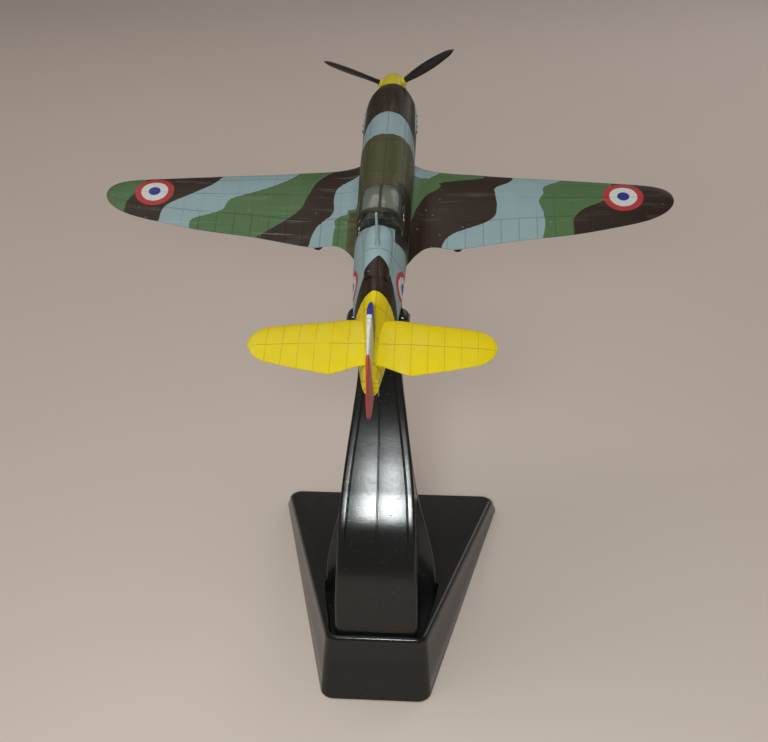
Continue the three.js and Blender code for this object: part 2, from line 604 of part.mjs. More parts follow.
function bladeSolid() {
  const rows = rowReader([
    [1.6, 1.1, 0.9, 62], [4, 1.7, 0.75, 56], [8, 2.7, 0.6, 46], [12, 3.0, 0.5, 38], [16, 2.5, 0.4, 31],
    [19, 1.5, 0.3, 27], [BLADE_RADIUS, 0.5, 0.2, 26],
  ]);
  const stations = 10;
  return loft(Array.from({ length: stations + 1 }, (_, i) => {
    const radius = lerp(1.6, BLADE_RADIUS, i / stations);
    const [chord, thickness, pitch] = rows(radius);
    const turn = THREE.MathUtils.degToRad(pitch);
    return Array.from({ length: 10 }, (_, k) => {
      const angle = 2 * Math.PI * k / 10;
      const along = Math.cos(angle) * chord / 2;
      const across = Math.sin(angle) * thickness / 2;
      return new THREE.Vector3(radius, along * Math.sin(turn) + across * Math.cos(turn),
        along * Math.cos(turn) - across * Math.sin(turn));
    });
  }));
}

function makePropeller(group) {
  const slotHalf = 1.25;
  const hubHalf = 1.5;
  const outline = [
    [0, -60.6], [1.2, -60.3], [2.2, -59.4], [3.0, -57.9], [3.5, -56.0], [3.75, -54.0], [3.8, -51.9],
    [3.1, -51.9], [3.0, -56.2], [2.2, -57.9], [0, -58.8],
  ].map(([radius, y]) => new THREE.Vector2(radius, y));
  let spinner = solid(new THREE.LatheGeometry(outline, 24)).translate([0, 0, THRUST_Z]);
  let blades = solid(bar(2.5, 2 * hubHalf, 'y', 0, 0, 0, 22));
  for (const degrees of BLADE_ANGLES) {
    const turn = THREE.MathUtils.degToRad(180 - degrees);
    const place = (geometry) => solid(geometry.rotateY(-turn));
    blades = blades.add(place(bladeSolid()));
    const slot = place(block(0, 6, PROP_Y - slotHalf, -48, -slotHalf, slotHalf));
    spinner = spinner.subtract(slot.translate([0, 0, THRUST_Z]));
  }
  blades = blades.subtract(solid(bar(0.95, 8, 'y', 0, 0, 0, 20))).translate([0, PROP_Y, THRUST_Z]);
  addSolid(group, 'spinner', spinner, noseYellow);
  addSolid(group, 'propeller_blades', blades, bladeBlack);
  addPart(group, 'propeller_shaft', bar(0.7, 12.8, 'y', 0, -51.4, THRUST_Z, 20), steel);
  const collar = solid(bar(1.5, 1.0, 'y', 0, -46.2, THRUST_Z, 20))
    .subtract(solid(bar(0.95, 4, 'y', 0, -46, THRUST_Z, 20)));
  addSolid(group, 'shaft_retainer', collar, steel);
}

// ---- Landing gear ----------------------------------------------------------
const AXLE = { y: -15.2, z: -9.9, radius: 0.76, bore: 0.84 };

function makeLandingGear(group, wings) {
  for (const [name, side] of [['left', 1], ['right', -1]]) {
    const legX = side * (WHEEL_X + 2.6);
    const bore = solid(bar(AXLE.radius + GAP, 6, 'x', legX, AXLE.y, AXLE.z, 16));
    const strut = solid(bar(0.75, 12, 'z', legX, AXLE.y, AXLE.z + 6, 14)).subtract(wings);
    const lug = solid(bar(1.75, 1.3, 'x', legX, AXLE.y, AXLE.z, 16));
    addSolid(group, `gear_leg_${name}`, largestPiece(strut.add(lug).subtract(bore)), gearGrey);

    const doorShape = new THREE.Shape();
    doorShape.moveTo(AXLE.y - 2.3, -1.6);
    doorShape.lineTo(AXLE.y + 2.5, -1.6);
    doorShape.lineTo(AXLE.y + 2.3, -8.0);
    doorShape.quadraticCurveTo(AXLE.y + 1.6, -10.6, AXLE.y, -10.9);
    doorShape.quadraticCurveTo(AXLE.y - 1.8, -10.6, AXLE.y - 2.3, -8.0);
    doorShape.closePath();
    const door = plateYZ(doorShape, 0.5).translate(side * (WHEEL_X + 4.1), 0, 0);
    addSolid(group, `gear_door_${name}`, solid(door).subtract(wings), gearGrey);

    const tyreProfile = [
      [AXLE.bore, -0.9], [2.6, -0.9], [2.9, -1.25], [3.9, -1.15], [WHEEL_RADIUS, -0.4], [WHEEL_RADIUS, 0.4],
      [3.9, 1.15], [2.9, 1.25], [2.6, 0.9], [AXLE.bore, 0.9], [AXLE.bore, -0.9],
    ].map(([radius, x]) => new THREE.Vector2(radius, x));
    const wheel = new THREE.LatheGeometry(tyreProfile, 22).rotateZ(Math.PI / 2);
    addPart(group, `main_wheel_${name}`, wheel.translate(side * WHEEL_X, AXLE.y, AXLE.z), tyreBlack);
    const axle = solid(bar(AXLE.radius, 5.2, 'x', side * (WHEEL_X + 0.9), AXLE.y, AXLE.z, 16))
      .add(solid(bar(1.3, 0.5, 'x', side * (WHEEL_X - 1.75), AXLE.y, AXLE.z, 16)));
    addSolid(group, `wheel_axle_${name}`, axle, steel);
  }
}

// ---- Stand: cradle ---------------------------------------------------------
// A saddle on the end of the arm with a rounded horn at each side of the belly.
function makeCradle(group) {
  const hornHalf = 7.3;
  const shape = new THREE.Shape();
  shape.moveTo(-5.2, CRADLE_SEAT_Z);
  shape.lineTo(5.2, CRADLE_SEAT_Z);
  shape.bezierCurveTo(6.6, -6.6, 7.3, -4.6, hornHalf, -1.0);
  shape.lineTo(hornHalf, 0.6);
  shape.absarc(hornHalf - 1.3, 0.6, 1.3, 0, Math.PI / 2);
  shape.lineTo(1.3 - hornHalf, 1.9);
  shape.absarc(1.3 - hornHalf, 0.6, 1.3, Math.PI / 2, Math.PI);
  shape.lineTo(-hornHalf, -1.0);
  shape.bezierCurveTo(-7.3, -4.6, -6.6, -6.6, -5.2, CRADLE_SEAT_Z);
  const blank = new THREE.ExtrudeGeometry(shape, { depth: 19.4, bevelEnabled: false, curveSegments: 8 });
  blank.rotateX(Math.PI / 2).translate(0, 24.4, 0);
  let cradle = solid(blank).subtract(fuselageLoft(0, 36, 0.35, 18))
    .subtract(solid(block(-20, 20, 0, 17.2, -3.4, 10)))
    .subtract(solid(block(5.0, 20, 0, 15.6, -20, 10)))
    .subtract(solid(block(-20, -5.0, 0, 15.6, -20, 10)))
    .subtract(solid(bar(1.0, 20, 'z', 0, CRADLE_SCREW_Y, -8, 12)))
    .subtract(solid(bar(2.1, 6, 'z', 0, CRADLE_SCREW_Y, -3.0, 14)));
  const relief = solid(block(-20, 20, -1, 5, -2.5, 2.5).rotateX(0.6).translate(0, 17.2, -1.2));
  cradle = cradle.subtract(relief);
  addSolid(group, 'cradle', largestPiece(cradle), standBlack);
  const screw = addPart(group, 'cradle_screw', screwGeometry(1.7, 1.0, 0.7, 5.0).rotateX(Math.PI), steel);
  screw.position.set(0, CRADLE_SCREW_Y, -4.4);
}

// ---- Assembly --------------------------------------------------------------
const stand = new THREE.Group();
makeBase(stand);
makeArm(stand);

const airframe = new THREE.Group();
airframe.applyMatrix4(airframePlacement);
const wingCutter = wingPanel(1, GAP).add(wingPanel(-1, GAP));
const finCutter = solid(plateYZ(finShape(GAP), 1.3 + 2 * GAP));
makeFuselage(airframe, wingCutter, tailplanePanel(1, GAP).add(tailplanePanel(-1, GAP)), finCutter);
makeWing(airframe);
makeRadiator(airframe);
makeTail(airframe);
makeTailWheel(airframe);
makeCockpit(airframe);
makeNose(airframe);
makePropeller(airframe);
makeLandingGear(airframe, wingCutter);
makeCradle(airframe);

// The origin is on the table, under the middle of the model's outline.
const model = new THREE.Group();
model.add(stand, airframe);
model.updateMatrixWorld(true);
const bounds = new THREE.Box3().setFromObject(model, true);
model.position.y = -(bounds.min.y + bounds.max.y) / 2;

export default model;
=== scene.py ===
"""Propeller fighter display model on a black stand: the looks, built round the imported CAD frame."""
import json
import math

import bmesh
import bpy
import numpy as np
from mathutils import Matrix, Vector


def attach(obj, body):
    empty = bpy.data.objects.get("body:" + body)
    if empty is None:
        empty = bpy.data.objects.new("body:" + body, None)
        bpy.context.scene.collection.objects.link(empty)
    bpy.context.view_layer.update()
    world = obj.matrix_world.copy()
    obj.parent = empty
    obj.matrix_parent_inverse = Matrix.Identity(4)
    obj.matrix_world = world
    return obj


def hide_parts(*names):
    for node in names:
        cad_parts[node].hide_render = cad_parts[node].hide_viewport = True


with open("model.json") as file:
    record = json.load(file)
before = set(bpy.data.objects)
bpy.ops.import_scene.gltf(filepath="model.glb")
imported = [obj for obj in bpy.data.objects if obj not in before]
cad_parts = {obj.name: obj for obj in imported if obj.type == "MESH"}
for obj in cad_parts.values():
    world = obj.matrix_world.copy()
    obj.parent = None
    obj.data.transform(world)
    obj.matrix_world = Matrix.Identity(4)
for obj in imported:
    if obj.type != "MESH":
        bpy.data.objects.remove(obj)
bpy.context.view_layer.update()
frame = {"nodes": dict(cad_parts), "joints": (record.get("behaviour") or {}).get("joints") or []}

MM = 0.001

# ---- The airframe's own frame: nose along -Y, origin at the wing's trailing edge on the centre line ----
NOSE_UP = math.radians(20)
WING_HEIGHT = 99.66
PROP_Y = -55.4
THRUST_Z = 6.7
HALF_SPAN = 70.83
COWL_FRONT_Y = -51.0
FUSELAGE_REAR_Y = 47.4

spin_joint = next(j for j in frame["joints"] if j["name"] == "propeller_spin")
FRAME_SHIFT = spin_joint["pos_m"][1] / MM - PROP_Y * math.cos(NOSE_UP) - THRUST_Z * math.sin(NOSE_UP)
AIRFRAME = Matrix.Translation(Vector((0, FRAME_SHIFT, WING_HEIGHT)) * MM) @ Matrix.Rotation(-NOSE_UP, 4, "X")
STAND = Matrix.Translation(Vector((0, FRAME_SHIFT, 0)) * MM)


# ---- Curves and outlines ---------------------------------------------------
def smooth_rows(rows):
    """Reads a smooth curve through given rows [position, value, ...]."""
    table = np.array(rows, float)
    at, values = table[:, 0], table[:, 1:]
    slopes = np.gradient(values, at, axis=0)

    def read(position):
        p = np.clip(np.atleast_1d(np.asarray(position, float)), at[0], at[-1])
        i = np.clip(np.searchsorted(at, p) - 1, 0, len(at) - 2)
        gap = (at[i + 1] - at[i])[:, None]
        t = (p[:, None] - at[i][:, None]) / gap
        start = (2 * t**3 - 3 * t**2 + 1) * values[i] + (t**3 - 2 * t**2 + t) * gap * slopes[i]
        end = (3 * t**2 - 2 * t**3) * values[i + 1] + (t**3 - t**2) * gap * slopes[i + 1]
        return start + end

    return read


def smooth_step(low, high, value):
    share = min(1.0, max(0.0, (value - low) / (high - low)))
    return share * share * (3 - 2 * share)


def boundary(points):
    """x as a function of y along a paint edge through [x, y] points, level past its ends."""
    ordered = sorted(points, key=lambda p: p[1])
    read = smooth_rows([[y, x] for x, y in ordered])
    return lambda y: read(y)[:, 0]


def rounded_outline(corners, steps=6):
    """A closed 2-D outline through (x, y, radius) corners, with an arc at each corner."""
    outline = []
    for i, (x, y, radius) in enumerate(corners):
        if radius <= 0:
            outline.append((x, y))
            continue
        here = Vector((x, y))
        back = (Vector(corners[i - 1][:2]) - here).normalized()
        ahead = (Vector(corners[(i + 1) % len(corners)][:2]) - here).normalized()
        half = back.angle(ahead) / 2
        centre = here + (back + ahead).normalized() * radius / math.sin(half)
        start = here + back * radius / math.tan(half) - centre
        end = here + ahead * radius / math.tan(half) - centre
        sweep = math.atan2(start.x * end.y - start.y * end.x, start.dot(end))
        for step in range(steps + 1):
            c, s = math.cos(sweep * step / steps), math.sin(sweep * step / steps)
            outline.append((centre.x + start.x * c - start.y * s, centre.y + start.x * s + start.y * c))
    return np.array(outline)


def circle(sides):
    return np.linspace(0, 2 * math.pi, sides, endpoint=False)


def ring(x, y, z):
    """Points from three coordinates, of which any may be one number for all points."""
    return np.column_stack(np.broadcast_arrays(x, y, z))


# ---- Mesh building ---------------------------------------------------------
def make_object(name, part, key, place=AIRFRAME, sharp=35):
    """A mesh object from a (vertices, faces) part in millimetres, smooth but for its sharp edges."""
    vertices, faces = part
    mesh = bpy.data.meshes.new(name)
    mesh.from_pydata((np.asarray(vertices) * MM).tolist(), [], faces)
    mesh.materials.append(MATERIALS[key][1])
    obj = bpy.data.objects.new(name, mesh)
    bpy.context.scene.collection.objects.link(obj)
    obj.matrix_world = place
    return tidy_mesh(obj, sharp) if sharp else obj


def shade(obj, sharp):
    obj.data.polygons.foreach_set("use_smooth", [True] * len(obj.data.polygons))
    obj.data.set_sharp_from_angle(angle=math.radians(sharp))
    return obj


def tidy_mesh(obj, sharp=35):
    """Welds doubles, turns the faces outwards and sets the shading."""
    mesh = bmesh.new()
    mesh.from_mesh(obj.data)
    bmesh.ops.remove_doubles(mesh, verts=mesh.verts, dist=1e-7)
    bmesh.ops.recalc_face_normals(mesh, faces=mesh.faces)
    mesh.to_mesh(obj.data)
    mesh.free()
    return shade(obj, sharp)


def loft(rings, wrap=False):
    """Vertices and faces of a body through rings of equal point count, with closed ends unless it wraps."""
    rings = np.asarray(rings, float)
    count, size = rings.shape[:2]
    faces = []
    for r in range(count if wrap else count - 1):
        a, b = r * size, ((r + 1) % count) * size
        for i in range(size):
            j = (i + 1) % size
            faces.append((a + i, a + j, b + j, b + i))
    if not wrap:
        faces += [tuple(range(size))[::-1], tuple(range((count - 1) * size, count * size))]
    return rings.reshape(-1, 3), faces


def join_parts(parts):
    """Several (vertices, faces) bodies as one."""
    vertices, faces, start = [], [], 0
    for part_vertices, part_faces in parts:
        vertices.append(np.asarray(part_vertices, float))
        faces += [tuple(i + start for i in face) for face in part_faces]
        start += len(part_vertices)
    return np.concatenate(vertices), faces


def lathe(profile, sides=64, axis="y"):
    """A turned body from [radius, position] points that start and end on the axis or close on themselves."""
    turn = circle(sides)
    rings = []
    for radius, position in profile:
        r = max(radius, 1e-4)
        points = ring(r * np.cos(turn), position, r * np.sin(turn))
        order = {"x": [1, 0, 2], "y": [0, 1, 2], "z": [0, 2, 1]}[axis]
        rings.append(points[:, order])
    return loft(rings, wrap=profile[0][0] > 1e-3)


def placed(part, offset, turn=None):
    vertices, faces = part
    if turn is not None:
        vertices = vertices @ np.array(turn.to_3x3()).T
    return vertices + np.array(offset, float), faces


def cut(obj, cutter, operation="DIFFERENCE"):
    """Applies a boolean with the cutter, then removes the cutter."""
    modifier = obj.modifiers.new("cut", "BOOLEAN")
    modifier.operation = operation
    modifier.solver = "EXACT"
    modifier.material_mode = "TRANSFER"
    modifier.object = cutter
    bpy.context.view_layer.update()
    evaluated = obj.evaluated_get(bpy.context.evaluated_depsgraph_get())
    mesh = bpy.data.meshes.new_from_object(evaluated)
    obj.modifiers.clear()
    obj.data = mesh
    bpy.data.objects.remove(cutter)
    return obj


def finish_piece(obj, key, *nodes, body="airframe", slot=None):
    """Puts a piece on its body, in place of its CAD nodes, which it hides."""
    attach(obj, body)
    if nodes:
        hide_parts(*nodes)


def soften(obj, bevel, sharp=40):
    """Rounds the edges sharper than the given angle."""
    mesh = bmesh.new()
    mesh.from_mesh(obj.data)
    bmesh.ops.remove_doubles(mesh, verts=mesh.verts, dist=1e-6)
    bmesh.ops.dissolve_limit(mesh, angle_limit=math.radians(0.5), verts=mesh.verts, edges=mesh.edges)
    edges = [e for e in mesh.edges if e.is_manifold and e.calc_face_angle(0) > math.radians(sharp)]
    if bevel:
        bmesh.ops.bevel(mesh, geom=edges, offset=bevel * MM, segments=2, profile=0.6, affect="EDGES",
                        clamp_overlap=True)
    mesh.to_mesh(obj.data)
    mesh.free()
    shade(obj, sharp)


def refined(node, key, bevel, body="airframe", slot=None):
    """A softened copy of a CAD node, with its edges rounded, which stands for it."""
    obj = bpy.data.objects.new(node + "_fine", frame["nodes"][node].data.copy())
    bpy.context.scene.collection.objects.link(obj)
    soften(obj, bevel)
    obj.data.materials.clear()
    obj.data.materials.append(MATERIALS[key][1])
    finish_piece(obj, key, node, body=body, slot=slot)
    return obj


def prism(name, outline, order, start, end):
    """An outline carried from start to end along the third axis; order says where each axis goes."""
    rings = [ring(outline[:, 0], outline[:, 1], level)[:, order] for level in (start, end)]
    return make_object(name, loft(rings), "stand")


def local_points(obj):
    """The mesh's vertices in millimetres, in the object's own frame."""
    points = np.zeros(len(obj.data.vertices) * 3, np.float32)
    obj.data.vertices.foreach_get("co", points)
    return points.reshape(-1, 3).astype(float) / MM


def store(obj, **attributes):
    """Stores numbers for the materials on the mesh's points."""
    for name, values in attributes.items():
        data = obj.data.attributes.new(name, "FLOAT", "POINT").data
        data.foreach_set("value", np.asarray(np.broadcast_to(values, len(data)), np.float32))


# ---- Node helpers ----------------------------------------------------------
def srgb(red, green, blue):
    """A display colour, 0 to 255, as a linear colour."""
    def linear(value):
        v = value / 255
        return v / 12.92 if v <= 0.04045 else ((v + 0.055) / 1.055) ** 2.4
    return (linear(red), linear(green), linear(blue), 1.0)


class Value:
    """A node's output, which can be used in plain arithmetic."""

    def __init__(self, n, socket):
        self.n, self.socket = n, socket

    def __add__(self, other):
        return self.n.maths("ADD", self, other)

    def __sub__(self, other):
        return self.n.maths("SUBTRACT", self, other)

    def __rsub__(self, other):
        return self.n.maths("SUBTRACT", other, self)

    def __mul__(self, other):
        return self.n.maths("MULTIPLY", self, other)

    def __truediv__(self, other):
        return self.n.maths("DIVIDE", self, other)

    def __abs__(self):
        return self.n.maths("ABSOLUTE", self)


class Nodes:
    """Short calls for building one material's node tree."""

    def __init__(self, name):
        self.material = bpy.data.materials.new(name)
        self.material.use_nodes = True
        self.tree = self.material.node_tree
        self.tree.nodes.clear()
        self.shader = self.add("BsdfPrincipled")
        self.add("OutputMaterial", {"Surface": Value(self, self.shader.outputs[0])})
        self.place = self.made("TexCoord", "Object")

    def put(self, socket, value):
        if isinstance(value, Value):
            self.tree.links.new(value.socket, socket)
        else:
            socket.default_value = value

    def add(self, kind, inputs=(), **settings):
        """A node with its settings and its inputs, each a number, a colour or a Value."""
        node = self.tree.nodes.new("ShaderNode" + kind)
        for key, value in settings.items():
            setattr(node, key, value)
        for key, value in dict(inputs).items():
            self.put(node.inputs[key], value)
        return node

    def made(self, kind, output, inputs=(), **settings):
        return Value(self, self.add(kind, inputs, **settings).outputs[output])

    def maths(self, operation, *values):
        return self.made("Math", 0, enumerate(values), operation=operation)

    def larger(self, first, second):
        return self.maths("MAXIMUM", first, second)

    def attribute(self, name):
        return self.made("Attribute", "Fac", attribute_name=name)

    def axes(self):
        return [Value(self, output) * (1 / MM) for output in self.add("SeparateXYZ", {0: self.place}).outputs]

    def stretched(self, *scale):
        return self.made("Mapping", 0, {"Vector": self.place, "Scale": scale})

    def noise(self, scale, detail=4, roughness=0.55, vector=None):
        return self.made("TexNoise", "Fac", {"Vector": vector or self.place, "Scale": scale, "Detail": detail,
                                             "Roughness": roughness})

    def speckle(self, scale, size):
        """Scattered small round spots: 1 on a spot, 0 off it."""
        cells = self.add("TexVoronoi", {"Vector": self.place, "Scale": scale})
        spot = self.band(Value(self, cells.outputs["Distance"]), size, size * 0.6)
        draw = self.made("SeparateColor", 0, {0: Value(self, cells.outputs["Color"])})
        return spot * self.maths("GREATER_THAN", draw, 0.72)

    def band(self, value, off, on):
        """Goes smoothly from 0 where value is off to 1 where it is on."""
        limits = {"From Min": min(off, on), "From Max": max(off, on), "To Min": float(off > on),
                  "To Max": float(on > off)}
        return self.made("MapRange", 0, {"Value": value, **limits}, interpolation_type="SMOOTHSTEP")

    def scaled(self, value, low, high):
        """A 0 to 1 value carried to low to high."""
        return self.maths("MULTIPLY_ADD", value, high - low, low)

    def mix(self, factor, first, second, blend="MIX"):
        return self.made("Mix", 2, {"Factor": factor, 6: first, 7: second}, data_type="RGBA",
                         blend_type=blend)

    def steps(self, value, stops):
        """Constant colours: each (start, colour) holds from its start on."""
        node = self.add("ValToRGB", {"Fac": value})
        ramp = node.color_ramp
        ramp.interpolation = "CONSTANT"
        while len(ramp.elements) < len(stops):
            ramp.elements.new(0.5)
        for element, (start, colour) in zip(ramp.elements, stops):
            element.position = start
            element.color = colour
        return Value(self, node.outputs["Color"])

    def bump(self, height, strength, distance, below=None):
        inputs = {"Strength": strength, "Distance": distance * MM, "Height": height}
        if below:
            inputs["Normal"] = below
        return self.made("Bump", 0, inputs)

    def near_lines(self, value, spacing, width):
        """1 on lines at whole numbers of value, which are spacing apart in millimetres."""
        away = abs(self.maths("FRACT", value + 0.5) - 0.5) * spacing
        return self.band(away, width, width * 0.35)

    def panel_lines(self, width):
        """The rib and run lines that are stored on the mesh."""
        return [self.near_lines(self.attribute(name), self.attribute(name + "_gap"), w)
                for name, w in zip(("rib", "run"), width)]

    def finish(self, colour, roughness, normal, extra=()):
        """Fills the shader's sockets and gives the material back."""
        sockets = {"Base Color": colour, "Roughness": roughness, "Normal": normal, **dict(extra)}
        for name, value in sockets.items():
            self.put(self.shader.inputs[name], value)
        return self.material


# ---- Paint and plastic -----------------------------------------------------
BROWN = srgb(46, 27, 12)
GREEN = srgb(84, 118, 72)
OLIVE = srgb(80, 80, 46)
LIGHT = srgb(154, 178, 182)
YELLOW = srgb(238, 212, 0)
RED = srgb(196, 54, 58)
WHITE = srgb(226, 228, 224)
BLUE = srgb(44, 52, 150)
SATIN = {"Specular IOR Level": 0.3}
WING_BANDS = 20
ROUNDEL = {"x": 58.6, "y": -14.1, "red": 4.87, "white": 3.35, "blue": 1.45}
SIDE_ROUNDEL = {"y": 19.6, "z": 6.2, "red": 4.1, "white": 2.9, "blue": 1.3}
RUDDER_STRIPES = {"blue": 35.6, "white": 40.2, "red": 47.8, "hinge": 41.2, "rib_gap": 2.6}


def weathered(n, colour, lines, grime, along):
    """Paint as it comes out of the mould: mottling, dirt in the panel lines, worn light specks."""
    mottle = n.noise(220, 5, 0.6)
    streaks = n.noise(60, 3, 0.5, n.stretched(*along))
    colour = n.mix(n.scaled(mottle, 0.0, 0.16), colour, srgb(30, 26, 20), "MULTIPLY")
    colour = n.mix(n.band(streaks, 0.54, 0.78) * 0.07, colour, srgb(205, 205, 195))
    colour = n.mix(n.speckle(520, 0.16) * 0.16, colour, srgb(214, 210, 200))
    return n.mix(lines * grime, colour, srgb(24, 22, 20)) if lines else colour


def paint_bump(n, lines=None):
    grain = n.bump(n.noise(2600, 3, 0.6), 0.10, 0.03)
    orange_peel = n.bump(n.noise(700, 2, 0.5), 0.12, 0.05, grain)
    return n.bump(1.0 - lines, 0.9, 0.06, orange_peel) if lines else orange_peel


def painted(n, colour, lines, roughness, grime=0.35, extra=SATIN, along=(9, 1.2, 5)):
    """The finished paint, with its wear, uneven gloss and fine relief."""
    gloss = n.scaled(n.noise(420, 4, 0.6), *roughness)
    return n.finish(weathered(n, colour, lines, grime, along), gloss, paint_bump(n, lines), extra)


def roundel(n, colour, up, aft, size):
    """Red, white and blue rings round a centre."""
    radius = n.maths("SQRT", up * up + aft * aft)
    rings = n.steps(radius / 10.0, [(0.0, BLUE), (size["blue"] / 10, WHITE), (size["white"] / 10, RED)])
    return n.mix(n.band(radius, size["red"] + 0.05, size["red"] - 0.05), colour, rings)


def wing_paint():
    """Top camouflage by band, light underside, roundels above and below, rib and hinge lines, scratches."""
    n = Nodes("camouflage_wing")
    x, y, z = n.axes()
    ragged = n.attribute("band") + n.scaled(n.noise(900, 3), -0.012, 0.012)
    port = [OLIVE, GREEN, LIGHT, BROWN, GREEN, LIGHT, BROWN, GREEN]
    starboard = [LIGHT, GREEN, BROWN, LIGHT, GREEN, BROWN]
    stops = [(i / WING_BANDS, c) for i, c in enumerate(port)]
    stops += [((i + 10) / WING_BANDS, c) for i, c in enumerate(starboard)]
    top = n.steps(ragged / float(WING_BANDS), stops)
    colour = n.mix(n.band(n.attribute("under"), -0.02, 0.02), top, LIGHT)
    colour = roundel(n, colour, abs(x) - ROUNDEL["x"], y - ROUNDEL["y"], ROUNDEL)
    ribs, runs = n.panel_lines((0.17, 0.17))
    lines = n.larger(ribs * n.attribute("rib_here") * 0.8, runs) * n.band(n.noise(90, 3), 0.30, 0.55)
    scratches = n.band(n.noise(150, 2, 0.5, n.stretched(0.25, 8, 1)), 0.64, 0.72)
    scratches = scratches * n.band(n.noise(30, 2), 0.48, 0.6)
    colour = n.mix(scratches * 0.22, colour, srgb(196, 200, 190))
    return painted(n, colour, lines, (0.36, 0.52), along=(1.2, 9, 5))


def fuselage_paint():
    """Camouflage bands round the body, light lower sides, roundels, yellow tail and panel lines."""
    n = Nodes("camouflage_fuselage")
    x, y, z = n.axes()
    ragged = n.attribute("band") + n.scaled(n.noise(900, 3), -0.02, 0.02)
    colours = [BROWN, LIGHT, OLIVE, LIGHT, BROWN, YELLOW]
    top = n.steps(ragged / 10.0, [(i / 10, c) for i, c in enumerate(colours)])
    top = n.mix(n.band(n.attribute("dark"), -0.05, 0.05), top, BROWN)
    colour = n.mix(n.band(n.attribute("under"), -0.03, 0.03), top, LIGHT)
    colour = roundel(n, colour, z - SIDE_ROUNDEL["z"], y - SIDE_ROUNDEL["y"], SIDE_ROUNDEL)
    lines = n.larger(*n.panel_lines((0.15, 0.15))) * n.band(n.noise(110, 3), 0.25, 0.5)
    return painted(n, colour, lines, (0.34, 0.5))


def plain_paint(name, colour, roughness=(0.34, 0.48)):
    """One painted colour with mottling, fine grain and worn specks."""
    return painted(Nodes(name), colour, None, roughness, extra=())


def tail_paint():
    """Yellow tailplane with rib and hinge lines."""
    n = Nodes("tail_yellow")
    ribs, runs = n.panel_lines((0.14, 0.16))
    lines = n.larger(ribs * 0.6, runs) * n.band(n.noise(130, 3), 0.2, 0.55)
    return painted(n, YELLOW, lines, (0.3, 0.44), 0.3)


def rudder_paint():
    """Yellow fin, then blue, white and red bands along the rudder."""
    n = Nodes("fin_and_rudder_paint")
    x, y, z = n.axes()
    ragged = y + n.scaled(n.noise(800, 3), -0.12, 0.12)
    stripes = [(RUDDER_STRIPES[k] / 100, c) for k, c in (("blue", BLUE), ("white", WHITE), ("red", RED))]
    colour = n.steps(ragged / 100.0, [(0.0, YELLOW)] + stripes)
    hinge = n.band(abs(y - RUDDER_STRIPES["hinge"]), 0.16, 0.056)
    gap = RUDDER_STRIPES["rib_gap"]
    ribs = n.near_lines(z / gap, gap, 0.12) * n.band(y, 41.0, 41.4)
    return painted(n, colour, n.larger(hinge, ribs * 0.5), (0.3, 0.44), 0.3)


def stand_plastic(name, roughness):
    """Glossy black moulded plastic with fine orange peel, hairline scuffs and dust."""
    n = Nodes(name)
    dust = n.speckle(900, 0.13) * n.band(n.noise(45, 3), 0.42, 0.62)
    scuffs = n.larger(n.band(n.noise(260, 2, 0.5, n.stretched(1, 14, 1)), 0.67, 0.73),
                      n.band(n.noise(230, 2, 0.5, n.stretched(16, 1, 2)), 0.69, 0.75))
    haze = n.noise(70, 5, 0.65)
    colour = n.mix(n.scaled(haze, 0.0, 0.5), srgb(20, 20, 19), srgb(33, 33, 31))
    colour = n.mix(scuffs * 0.10, colour, srgb(90, 92, 92))
    colour = n.mix(dust * 0.45, colour, srgb(150, 146, 138))
    grain = n.bump(n.noise(2300, 4, 0.7), 0.35, 0.03)
    return n.finish(colour, n.scaled(haze, *roughness) + scuffs * 0.12 + dust * 0.3,
                    n.bump(n.noise(520, 2, 0.5), 0.15, 0.06, grain))


def blade_plastic():
    """Dark satin plastic with faint haze and light specks."""
    n = Nodes("blade_black")
    haze = n.noise(150, 4, 0.6)
    colour = n.mix(n.scaled(haze, 0.0, 0.6), srgb(22, 18, 17), srgb(44, 38, 36))
    colour = n.mix(n.speckle(600, 0.14) * 0.3, colour, srgb(120, 116, 110))
    return n.finish(colour, n.scaled(haze, 0.34, 0.5), paint_bump(n))


def canopy_clear():
    """Clear plastic, smoky, with a slightly rippled surface; its upper front is paler and less clear, a painted
    reflection.
    """
    n = Nodes("canopy_clear")
    x, y, z = n.axes()
    haze = n.noise(160, 3, 0.5)
    # Painted reflection: the upper front of the glass is made paler and less clear, standing in for the key light's
    # reflection.
    painted_crown_reflection = n.band(y, 6.0, 4.6) * n.band(z, 15.0, 16.8)
    colour = n.mix(haze, srgb(150, 158, 140), srgb(172, 178, 162))
    clear = {"Transmission Weight": n.scaled(painted_crown_reflection, 0.92, 0.5), "IOR": 1.46,
             "Alpha": n.scaled(painted_crown_reflection, 0.4, 0.62)}
    return n.finish(colour, n.scaled(haze, 0.05, 0.12), n.bump(n.noise(150, 1, 0.4), 0.03, 0.03), clear)


def rubber():
    n = Nodes("tyre_rubber")
    haze = n.noise(300, 5, 0.65)
    return n.finish(n.mix(haze, srgb(20, 20, 20), srgb(40, 39, 37)), n.scaled(haze, 0.62, 0.82),
                    n.bump(n.noise(2400, 4, 0.7), 0.3, 0.05))


def fastener_metal():
    n = Nodes("fastener_steel")
    haze = n.noise(500, 5, 0.65)
    brushed = n.noise(900, 2, 0.5, n.stretched(1, 8, 1))
    colour = n.mix(n.band(haze, 0.5, 0.72), srgb(186, 188, 190), srgb(90, 84, 76))
    return n.finish(colour, n.scaled(haze, 0.24, 0.42), n.bump(brushed, 0.12, 0.03), {"Metallic": 1.0})


def dull_plastic():
    n = Nodes("cockpit_black")
    haze = n.noise(260, 5, 0.6)
    return n.finish(n.mix(haze, srgb(24, 26, 24), srgb(44, 46, 42)), n.scaled(haze, 0.5, 0.7),
                    n.bump(n.noise(1800, 4, 0.6), 0.25, 0.04))


def exhaust_metal():
    n = Nodes("exhaust_rust")
    haze = n.noise(700, 5, 0.7)
    colour = n.mix(n.band(haze, 0.35, 0.75), srgb(140, 156, 160), srgb(104, 104, 98))
    return n.finish(colour, n.scaled(haze, 0.5, 0.75), n.bump(haze, 0.4, 0.05), {"Metallic": 0.1})


